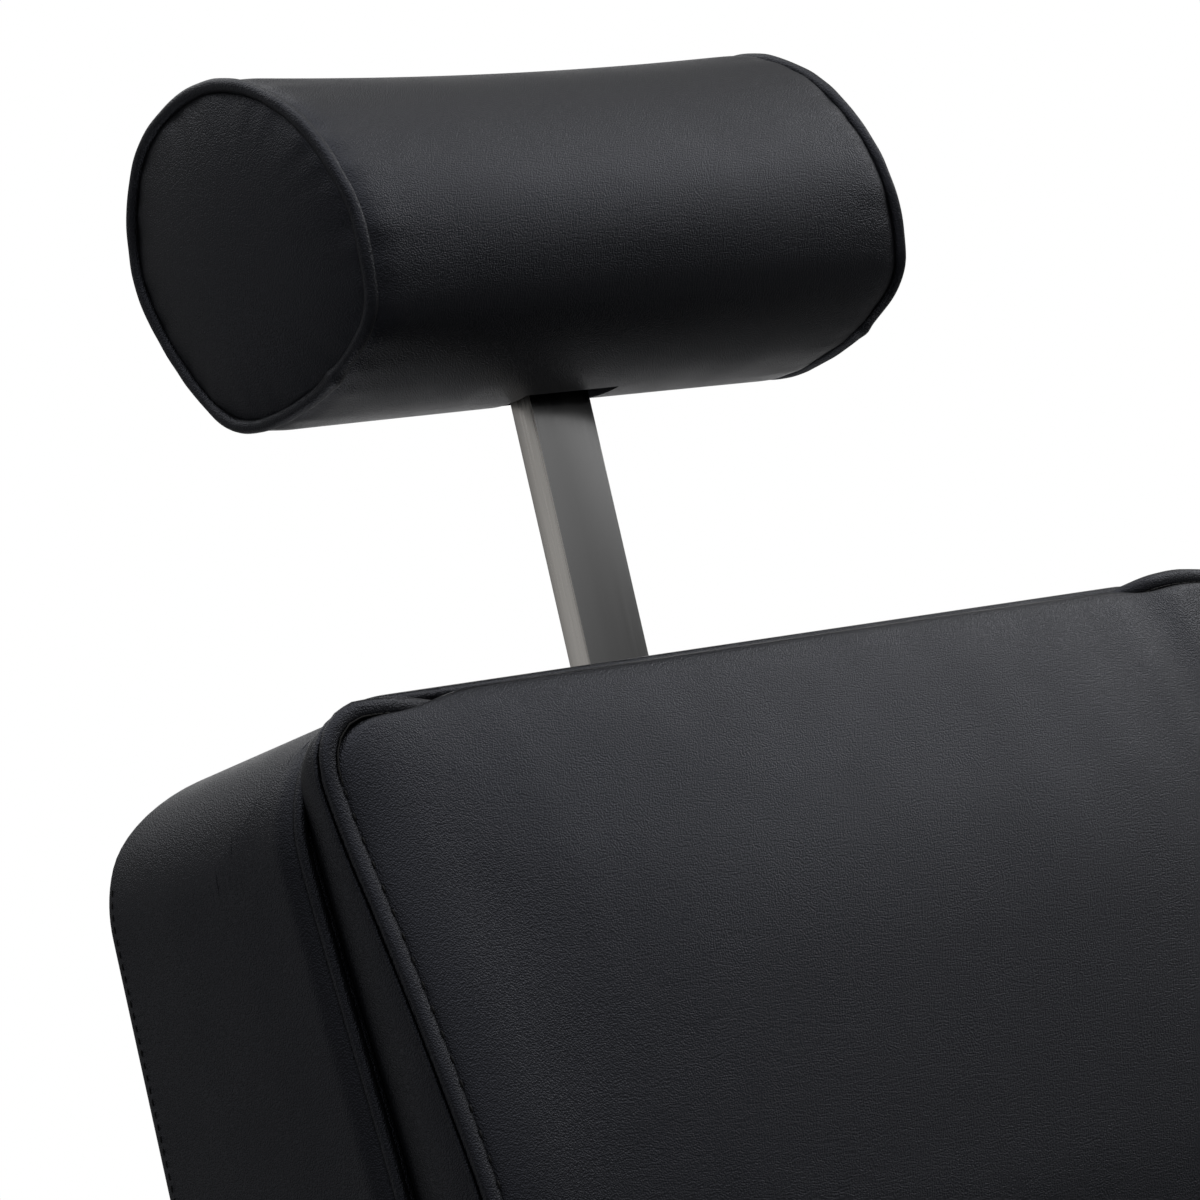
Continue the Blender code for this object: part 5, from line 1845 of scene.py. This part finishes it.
    def pucker(self, obj: Object) -> None:
        """Presses small puckers into the leather beside the piped seams.

        Args:
            obj: The bolster.
        """
        matrix = BACK_PLACE.matrix()
        local = np.array([matrix.inverted() @ Vector(p) for p in Bench.points(obj)])
        b, c = local[:, 1] - self.height, local[:, 2] + self.behind
        angle = np.arctan2(c, b)
        gap = self.half_length - np.abs(local[:, 0])
        wave = ripple(angle, 1.0) * np.where(local[:, 0] < 0, 1.0, 0.8)
        radius = np.hypot(b, c)
        side = np.where(gap > 0, np.exp(-gap / self.pucker_reach) * smooth(0.0, 0.004, gap), 0.0)
        shrink = 1 - self.pucker_depth * side * wave / np.maximum(radius, 0.01)
        local[:, 1] = self.height + b * shrink
        local[:, 2] = c * shrink - self.behind
        edge = self.section(self.draw_in)
        edge_angle = np.arctan2(edge[:, 1], edge[:, 0])
        order = np.argsort(edge_angle)
        rim = np.interp(angle, edge_angle[order], np.hypot(edge[:, 0], edge[:, 1])[order], period=2 * np.pi)
        inside = np.maximum(rim - radius, 0.0)
        fading = np.exp(-inside / self.end_pucker_reach) * smooth(0.0005, 0.004, inside)
        ends = np.where(gap < 0.0005, fading, 0.0)
        local[:, 0] += np.sign(local[:, 0]) * self.end_pucker_depth * ends * wave
        Bench.move(obj, np.array([matrix @ Vector(p) for p in local]))

    def build_cord(self, side: int) -> Object:
        """The piping round one end, with the joint where its ends meet.

        Args:
            side: -1 for the sitter's right, 1 for the left.

        Returns:
            The piping.
        """
        loop = resample(self.section(self.cord), 260, True)
        angle = np.arctan2(loop[:, 1], loop[:, 0])
        wander = self.cord_wander * ripple(angle * 0.5, 0.7 + side)
        across = side * (self.half_length + self.cord_out + wander)
        path = self.spot(across, loop)
        out = np.column_stack([np.zeros(len(loop)), loop])
        from_joint = np.angle(np.exp(1j * (angle - self.joint_angle))) * self.joint_radius
        joint = np.exp(-((from_joint / self.joint_length) ** 2))
        size = 1 + self.cord_unevenness * ripple(angle, 2.4) + self.joint_size * joint
        name, profile = f"headrest_piping_{SIDES[side]}", round_profile(self.cord, 12)
        return Bench.sweep(name, path, out, profile, True, size, BACK_PLACE.matrix())

    def build_bar(self) -> Object:
        """The flat bar with its eased edges.

        Returns:
            The bar.
        """
        obj = Bench.block("headrest_flat_bar", self.bar_low, self.bar_high, BACK_PLACE.matrix())
        Bench.bevel(obj, self.bar_ease, 3)
        return obj

    def build(self, finishes: Finishes) -> None:
        """Builds the headrest and dresses it.

        Args:
            finishes: The chair's finishes.
        """
        leather = finishes.leather
        pad = Bench.dress(self.build_pad(), leather, Body.HEADREST, Slot.LEATHER, ["headrest_pad"], 50)
        for side in SIDES:
            Bench.dress(self.build_cord(side), leather, Body.HEADREST, Slot.LEATHER)
        bar = self.build_bar()
        Bench.dress(bar, finishes.bar, Body.HEADREST_BAR, Slot.CHROME, ["headrest_bar"], 20)
        # Painted reflection: the narrow side faces take the light copy of the bar's metal and the other faces
        # keep the dark copy, standing in for what each face reflects.
        bar.data.materials.append(finishes.bar_painted_lit_sides)
        for face in bar.data.polygons:
            face.material_index = int(abs(face.normal.x) > 0.5)


@dataclass
class Seat:
    """The seat's boxed cushion."""

    half_width: float = 0.238
    front: float = -0.283
    rear: float = 0.173
    base: float = 0.3801
    rise: float = 0.108
    crown: float = 0.017
    foot_cord: float = 0.0026
    foot_cord_height: float = 0.004

    def build(self, finishes: Finishes) -> None:
        """Builds the cushion and dresses it.

        Args:
            finishes: The chair's finishes.
        """
        cushion = Cushion(
            "seat_pad", LEVEL, half_width=self.half_width, low=self.front, high=self.rear, base=self.base,
            rise=self.rise, crown=self.crown, low_round=0.045, high_round=0.03, base_inset=0.004,
            edge_lift=0.008, band_bulge=0.005, cell=0.0075,
        )
        cushion.build_padded(finishes, Body.SEAT, "seat_cushion", 0.85)
        foot = cushion.base_loop() + OUT * self.foot_cord_height
        cord = cushion.piping("foot_cord", foot, self.foot_cord)
        Bench.dress(cord, finishes.leather, Body.SEAT, Slot.LEATHER)


@dataclass
class Arms:
    """The two arms: bent chromed flats with padded rests."""

    middle: float = 0.2623
    half_thickness: float = 0.007
    half_depth: float = 0.015
    front: float = -0.2
    rear: float = 0.12
    foot: float = 0.334
    top: float = 0.68
    bend: float = 0.045
    ease: float = 0.0022
    pad_length: float = 0.4
    pad_width: float = 0.075
    pad_inset: float = 0.0045
    pad_forward: float = 0.01
    pad_gap: float = 0.0006
    trim_size: float = 0.8

    def build_frame(self, side: int) -> Object:
        """One bent flat bar.

        Args:
            side: -1 for the sitter's right, 1 for the left.

        Returns:
            The bar.
        """
        across, steps = side * self.middle, 18
        path = [(across, self.front, self.foot)]
        for along, start in ((self.front + self.bend, 180), (self.rear - self.bend, 90)):
            for step in range(steps + 1):
                turn = math.radians(start - 90 * step / steps)
                height = self.top - self.bend + self.bend * math.sin(turn)
                path.append((across, along + self.bend * math.cos(turn), height))
        path.append((across, self.rear, self.foot))
        thick, deep, ease = self.half_thickness, self.half_depth, self.ease
        corners = ((-thick, -deep, ease), (thick, -deep, ease), (thick, deep, ease), (-thick, deep, ease))
        profile = quarter_loop(corners, 4)
        line = np.array(path)
        out = np.tile(np.array([1.0, 0.0, 0.0]), (len(line), 1))
        obj = Bench.sweep(f"arm_bow_{SIDES[side]}", line, out, profile, False)
        Bench.face_out(obj)
        return obj

    def build(self, finishes: Finishes) -> None:
        """Builds both arms and dresses them.

        Args:
            finishes: The chair's finishes.
        """
        middle = (self.front + self.rear) / 2 - self.pad_forward
        half = self.pad_length / 2 - self.pad_inset
        for side, name in reversed(SIDES.items()):
            bow_bar = self.build_frame(side)
            Bench.dress(bow_bar, finishes.chrome, Body.SEAT, Slot.CHROME, [f"arm_frame_{name}"], 30)
            cushion = Cushion(
                f"arm_rest_{name}", LEVEL, half_width=self.pad_width / 2 - self.pad_inset,
                low=middle - half, high=middle + half, base=self.top + self.half_depth + self.pad_gap,
                rise=0.023, crown=0.006, low_round=0.024, high_round=0.02, base_inset=0.003,
                edge_lift=0.007, edge_roll=0.003, edge_width=0.024, crown_width=0.04, band_bulge=0.003,
                cell=0.005, cap=0.003, shift=side * self.middle,
            )
            cushion.build_padded(finishes, Body.SEAT, f"arm_pad_{name}", 0.85, self.trim_size)


@dataclass
class Footrest:
    """The footrest's calf pad and its ribbed foot mat."""

    pad_width: float = 0.44
    pad_low: float = -0.205
    pad_high: float = -0.03
    pad_base: float = 0.0249
    pad_inset: float = 0.005
    trim_size: float = 0.9
    mat_low: Triple = (-0.19, -0.2194, -0.006)
    mat_high: Triple = (0.19, -0.2176, 0.163)
    mat_ease: float = 0.0006
    rib_count: int = 19
    rib_margin: float = 0.008
    rib_half_width: float = 0.002
    rib_top: float = 0.0012
    rib_ease: float = 0.0007

    def build(self, finishes: Finishes) -> None:
        """Builds the pad and the mat and dresses them.

        Args:
            finishes: The chair's finishes.
        """
        cushion = Cushion(
            "calf_cushion", FOOT_PLACE, half_width=self.pad_width / 2 - self.pad_inset,
            low=self.pad_low + self.pad_inset, high=self.pad_high - self.pad_inset, base=self.pad_base,
            rise=0.033, crown=0.007, base_inset=0.003, edge_lift=0.007, edge_roll=0.004, crown_width=0.09,
            band_bulge=0.004, cell=0.0062, cap=0.004,
        )
        cushion.build_padded(finishes, Body.FOOTREST, "calf_pad", 0.85, self.trim_size)
        self.build_mat(finishes)

    def build_mat(self, finishes: Finishes) -> None:
        """The rubber mat on the foot plate, ribbed across.

        Args:
            finishes: The chair's finishes.
        """
        matrix = FOOT_PLACE.matrix()
        sheet = Bench.block("foot_tread", self.mat_low, self.mat_high, matrix)
        Bench.bevel(sheet, self.mat_ease, 2)
        (left, _, first), (right, face, last) = self.mat_low, self.mat_high
        left, right = left + self.rib_margin, right - self.rib_margin
        ribs = [sheet]
        for c in np.linspace(first + self.rib_margin, last - self.rib_margin, self.rib_count):
            low = (left, face - 0.0008, c - self.rib_half_width)
            high = (right, face + self.rib_top, c + self.rib_half_width)
            rib = Bench.block("rib", low, high, matrix)
            Bench.bevel(rib, self.rib_ease, 2)
            ribs.append(rib)
        mat = Bench.join(ribs)
        Bench.dress(mat, finishes.rubber, Body.FOOTREST, Slot.RUBBER, ["foot_mat"], 40)


@dataclass
class Base:
    """The round base, the pump's column and the pedal's tread."""

    radius: float = 0.33
    wall: float = 0.003
    mat_top: float = 0.003
    edge_height: float = 0.016
    rise: float = 0.046
    column: float = 0.072
    column_top: float = 0.29
    column_foot: float = 0.0199
    cap_height: float = 0.012
    bore: float = 0.0226
    collar: float = 0.012
    slot_height: float = 0.125
    fit: float = 0.0006
    seat_gap: float = 0.0003
    column_wall: float = 0.002
    cap_round: float = 0.014
    cap_lip: float = 0.0028
    collar_height: float = 0.012
    collar_lip: float = 0.0025
    rim_width: float = 0.7
    rim_depth: float = 0.55
    rim_thinning: float = 0.011
    slot_low: Triple = (-0.015, -0.0106, -0.015)
    slot_high: Triple = (0.01, 0.0106, 0.013)
    mat_hole: float = 0.06
    tread_lift: float = 0.002
    tread_ease: float = 0.002
    rib_count: int = 8
    rib_margin: float = 0.008
    rib_inset: float = 0.004
    rib_half_width: float = 0.0023
    rib_ease: float = 0.0008

    def dome_line(self) -> list[Pair]:
        """The dome's outer line from the column out to the floor.

        Returns:
            (radius, height) points.
        """
        inner = self.column + self.fit
        crest = inner + self.collar
        edge = self.radius - self.edge_height * self.rim_width
        wide, deep = self.radius - edge, self.edge_height * self.rim_depth
        slope_steps, edge_steps = 30, 10
        line = [(inner, self.edge_height + self.rise), (crest, self.edge_height + self.rise)]
        for step in range(1, slope_steps + 1):
            share = step / slope_steps
            line.append((crest + (edge - crest) * share, self.edge_height + self.rise * (1 - share) ** 2))
        for step in range(1, edge_steps + 1):
            turn = math.pi / 2 * step / edge_steps
            line.append((edge + wide * math.sin(turn), self.edge_height - deep * (1 - math.cos(turn))))
        return line + [(self.radius, self.mat_top + self.seat_gap)]

    def build_dome(self) -> Object:
        """The pressed cover of the base.

        Returns:
            The cover.
        """
        line = self.dome_line()
        nearest, lowest = self.column + self.fit, self.mat_top + self.seat_gap
        under = []
        for radius, height in line:
            drawn_in = max(radius - self.wall * min(1.0, (radius / self.radius) ** 8), nearest)
            depth = self.wall * min(1.0, (self.radius - drawn_in) / self.rim_thinning)
            under.append((drawn_in, max(height - depth, lowest)))
        return Bench.turned("base_cover", line + under[::-1], 160)

    def build_collar(self) -> Object:
        """The rounded collar where the column leaves the dome.

        Returns:
            The collar.
        """
        low, start, steps = self.edge_height + self.rise + self.seat_gap, self.column + self.fit, 10
        ring = [(start, low), (start + self.collar, low)]
        rise = self.collar_height - self.collar_lip
        for step in range(steps + 1):
            turn = math.pi / 2 * step / steps
            reach = self.collar * math.cos(turn) * 0.99
            ring.append((start + reach, low + self.collar_lip + rise * math.sin(turn)))
        return Bench.turned("column_collar", ring + [(start, low + self.collar_height)], 128)

    def build_column(self) -> Object:
        """The column's tube with the pedal's slot.

        Returns:
            The tube.
        """
        inner = self.column - self.column_wall
        tube = [(self.column, self.column_top), (self.column, self.column_foot)]
        tube += [(inner, self.column_foot), (inner, self.column_top)]
        cover = Bench.turned("column_cover", tube, 128)
        at_slot = Matrix.Translation((self.column, 0.0, self.slot_height))
        Bench.carve(cover, Bench.block("slot", self.slot_low, self.slot_high, at_slot))
        return cover

    def build_cap(self) -> Object:
        """The column's rounded cap with the ram's bore.

        Returns:
            The cap.
        """
        low, steps = self.column_top + self.seat_gap, 12
        drop = 0.75 * self.cap_height
        ring = [(self.bore, low), (self.column, low)]
        for step in range(steps + 1):
            turn = math.pi / 2 * step / steps
            radius = self.column - self.cap_round * (1 - math.cos(turn))
            ring.append((radius, low + self.cap_lip + drop * math.sin(turn)))
        return Bench.turned("column_crown", ring + [(self.bore, ring[-1][1])], 128)

    def build(self, finishes: Finishes) -> None:
        """Builds the base and dresses it.

        Args:
            finishes: The chair's finishes.
        """
        chrome = finishes.chrome
        Bench.dress(self.build_dome(), chrome, Body.BASE, Slot.CHROME, ["base_dome"], 35)
        Bench.dress(self.build_collar(), chrome, Body.BASE, Slot.CHROME, ["dome_collar"], 35)
        Bench.dress(self.build_column(), chrome, Body.BASE, Slot.CHROME, ["pump_cover"], 30)
        Bench.dress(self.build_cap(), chrome, Body.BASE, Slot.CHROME, ["column_cap"], 35)
        hole, edge, top = self.mat_hole, self.radius, self.mat_top
        mat = Bench.turned("floor_mat", [(hole, 0.0), (edge, 0.0), (edge, top), (hole, top)])
        Bench.dress(mat, finishes.rubber, Body.BASE, Slot.RUBBER, ["base_mat"], 35)
        self.build_tread(finishes)

    def build_tread(self, finishes: Finishes) -> None:
        """The pedal's rubber tread with its ribs.

        Args:
            finishes: The chair's finishes.
        """
        low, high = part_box("pedal_pad")
        top = high[2] - self.tread_lift
        level = Matrix.Identity(4)
        block = Bench.block("pedal_tread", tuple(low), (high[0], high[1], top), level)
        Bench.bevel(block, self.tread_ease, 3)
        pieces = [block]
        half, inset = self.rib_half_width, self.rib_inset
        for x in np.linspace(low[0] + self.rib_margin, high[0] - self.rib_margin, self.rib_count):
            corners = ((x - half, low[1] + inset, top - 0.001), (x + half, high[1] - inset, high[2]))
            rib = Bench.block("tread_rib", *corners, level)
            Bench.bevel(rib, self.rib_ease, 2)
            pieces.append(rib)
        tread = Bench.join(pieces)
        Bench.dress(tread, finishes.rubber, Body.PEDAL, Slot.RUBBER, ["pedal_pad"], 40)


@dataclass(frozen=True)
class Hardware:
    """Frame pieces shown as they are, with their edges eased."""

    plates: tuple[str, ...] = (
        "pump_lever",
        "swivel_hub",
        "seat_plate",
        "seat_rail_left",
        "seat_rail_right",
        "recline_bracket_left",
        "recline_bracket_right",
        "recline_lever",
        "back_upright_left",
        "back_upright_right",
        "link_bar_left",
        "link_bar_right",
        "footrest_bar_left",
        "footrest_bar_right",
        "foot_plate",
        "gas_bracket",
        "headrest_bracket",
        "bar_socket",
        "lever_knob",
    )
    edge: float = 0.0007

    def build(self, frame: dict) -> None:
        """Makes the eased copies.

        Args:
            frame: The loaded frame.
        """
        slots = {entry["node"]: Slot(entry["material_slot"]) for entry in frame["record"]["subparts"]}
        for name in self.plates:
            node = frame["nodes"][name]
            finish = node.data.materials[0]
            piece = Bench.copy_of(node, self.edge)
            Bench.dress(piece, finish, Body(node["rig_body"]), slots[name], [name], 35)


@dataclass
class Studio:
    """White studio: floor, world, soft lamps and the camera."""

    eye: Triple = (-1.4516, -1.0373, 1.3686)
    right: Triple = (0.7314, -0.682, 0.0)
    ahead: Triple = (0.6746, 0.7234, -0.147)
    lens: float = 165.0
    bright_side: Triple = (0.75, -0.2, 0.63)
    low_level: float = 0.13
    ceiling_level: float = 0.4
    ceiling_from: Pair = (0.25, 0.65)
    window_level: float = 0.52
    window_from: Pair = (0.88, 1.0)
    backdrop_from: Pair = (0.9, 0.99)
    floor_radius: float = 1.1
    floor_drop: float = 0.0005
    floor_grey: float = 0.82
    floor_fade: Pair = (0.15, 1.0)
    aim: Triple = (0.0, 0.2, 0.8)
    lamps: tuple[tuple[str, Triple, float, float], ...] = (
        ("ceiling_lamp", (0.0, 0.0, 5.0), 3.0, 45.0),
        ("key_lamp", (2.1, 0.35, 2.4), 1.3, 8.5),
        ("fill_lamp", (-1.7, 2.0, 0.75), 1.5, 1.7),
        ("top_lamp", (0.0, 2.15, 2.6), 2.2, 15.0),
    )

    def build(self) -> None:
        """Sets the studio up."""
        self.build_world()
        self.build_floor()
        self.build_lamps()
        self.build_camera()

    def build_world(self) -> None:
        """A world that is white to the camera, and to the chair a room with a pale ceiling and a window.

        Reflections see the white backdrop behind the chair, and the room elsewhere.
        """
        scene = bpy.context.scene
        world = scene.world or bpy.data.worlds.new("studio")
        scene.world = world
        world.use_nodes = True
        nodes = Nodes(world.node_tree)
        nodes.tree.nodes.clear()
        toward = nodes.add("ShaderNodeTexCoord").outputs["Generated"]
        parts = nodes.add("ShaderNodeSeparateXYZ")
        nodes.link(toward, parts.inputs[0])
        brightest = self.low_level + self.ceiling_level
        ceiling = nodes.spread(parts.outputs["Z"], self.low_level, brightest, *self.ceiling_from, soft=True)
        lit = nodes.facing(toward, self.bright_side)
        window = nodes.spread(lit, 0.0, self.window_level, *self.window_from, soft=True)
        level = nodes.both("ADD", ceiling, window)
        rays = nodes.add("ShaderNodeLightPath").outputs
        behind = nodes.facing(toward, self.ahead)
        backdrop = nodes.spread(behind, 0.0, 1.0, *self.backdrop_from, soft=True)
        mirrored = nodes.both("MULTIPLY", rays["Is Glossy Ray"], backdrop)
        for white in (rays["Is Camera Ray"], rays["Is Transmission Ray"], mirrored):
            level = nodes.both("MAXIMUM", white, level)
        background = nodes.add("ShaderNodeBackground")
        background.inputs["Color"].default_value = (1.0, 1.0, 1.0, 1.0)
        nodes.link(level, background.inputs["Strength"])
        output = nodes.add("ShaderNodeOutputWorld")
        nodes.link(background.outputs["Background"], output.inputs["Surface"])

    def build_floor(self) -> None:
        """A pale floor that keeps the chair's shadow and fades to white."""
        Bench.clear()
        bpy.ops.mesh.primitive_circle_add(
            vertices=96, radius=self.floor_radius, fill_type="NGON", location=(0, 0, -self.floor_drop)
        )
        floor = bpy.context.object
        floor.name = "studio_floor"
        nodes = Surface("studio_floor")
        grey = self.floor_grey
        nodes.put(Base_Color=(grey, grey, grey, 1.0), Roughness=0.7, Specular_IOR_Level=0.1)
        away = nodes.add("ShaderNodeVectorMath", operation="LENGTH")
        nodes.link(nodes.place, away.inputs[0])
        fade = nodes.spread(away.outputs["Value"], 0.0, 1.0, *self.floor_fade, soft=True)
        rays = nodes.add("ShaderNodeLightPath").outputs
        shown = rays["Is Camera Ray"]
        for ray in ("Is Glossy Ray", "Is Transmission Ray"):
            shown = nodes.both("MAXIMUM", shown, rays[ray])
        share = nodes.both("MULTIPLY", fade, shown)
        white = nodes.add("ShaderNodeEmission")
        mix = nodes.add("ShaderNodeMixShader")
        nodes.link(share, mix.inputs[0])
        nodes.link(nodes.shader.outputs["BSDF"], mix.inputs[1])
        nodes.link(white.outputs["Emission"], mix.inputs[2])
        nodes.link(mix.outputs["Shader"], nodes.tree.nodes["Material Output"].inputs["Surface"])
        floor.data.materials.append(nodes.material)

    def build_lamps(self) -> None:
        """Soft lamps: one overhead, a key at the right, a weak fill at the left and one above the back."""
        for name, place, size, power in self.lamps:
            light = bpy.data.lights.new(name, "AREA")
            light.size = size
            light.energy = power
            lamp = bpy.data.objects.new(name, light)
            bpy.context.scene.collection.objects.link(lamp)
            lamp.location = place
            toward = Vector(self.aim) - Vector(place)
            lamp.rotation_euler = toward.to_track_quat("-Z", "Y").to_euler()
            lamp.visible_camera = False

    def build_camera(self) -> None:
        """The camera at the photograph's view."""
        scene = bpy.context.scene
        ahead, right = Vector(self.ahead).normalized(), Vector(self.right).normalized()
        up = right.cross(ahead)
        camera = bpy.data.objects.new("camera", bpy.data.cameras.new("camera"))
        scene.collection.objects.link(camera)
        camera.data.lens = self.lens
        camera.data.sensor_width = 36.0
        rows = [[right[i], up[i], -ahead[i], self.eye[i]] for i in range(3)]
        camera.matrix_world = Matrix(rows + [[0.0, 0.0, 0.0, 1.0]])
        camera.data.clip_start, camera.data.clip_end = 0.05, 100.0
        scene.camera = camera
        scene.view_settings.view_transform = "Standard"


def paint_frame(frame: dict, finishes: Finishes) -> None:
    """Gives the frame's own pieces their finishes.

    Args:
        frame: The loaded frame.
        finishes: The chair's finishes.
    """
    by_slot = {
        Slot.LEATHER: finishes.leather,
        Slot.CHROME: finishes.chrome,
        Slot.STEEL: finishes.steel,
        Slot.BLACK_STEEL: finishes.black_steel,
        Slot.RUBBER: finishes.rubber,
        Slot.PLYWOOD: finishes.plywood,
        Slot.PLASTIC: finishes.plastic,
    }
    for entry in frame["record"]["subparts"]:
        piece = frame["nodes"][entry["node"]]
        piece.data.materials.clear()
        piece.data.materials.append(by_slot[Slot(entry["material_slot"])])


def main() -> None:
    """Builds the chair's looks piece by piece."""
    logging.basicConfig(level=logging.INFO, format="%(message)s")
    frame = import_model()
    Bench.clear()
    Studio().build()
    finishes = Finishes()
    paint_frame(frame, finishes)
    Headrest().build(finishes)
    Back().build(finishes)
    Seat().build(finishes)
    Arms().build(finishes)
    Footrest().build(finishes)
    Base().build(finishes)
    Hardware().build(frame)


if __name__ == "__main__":
    main()
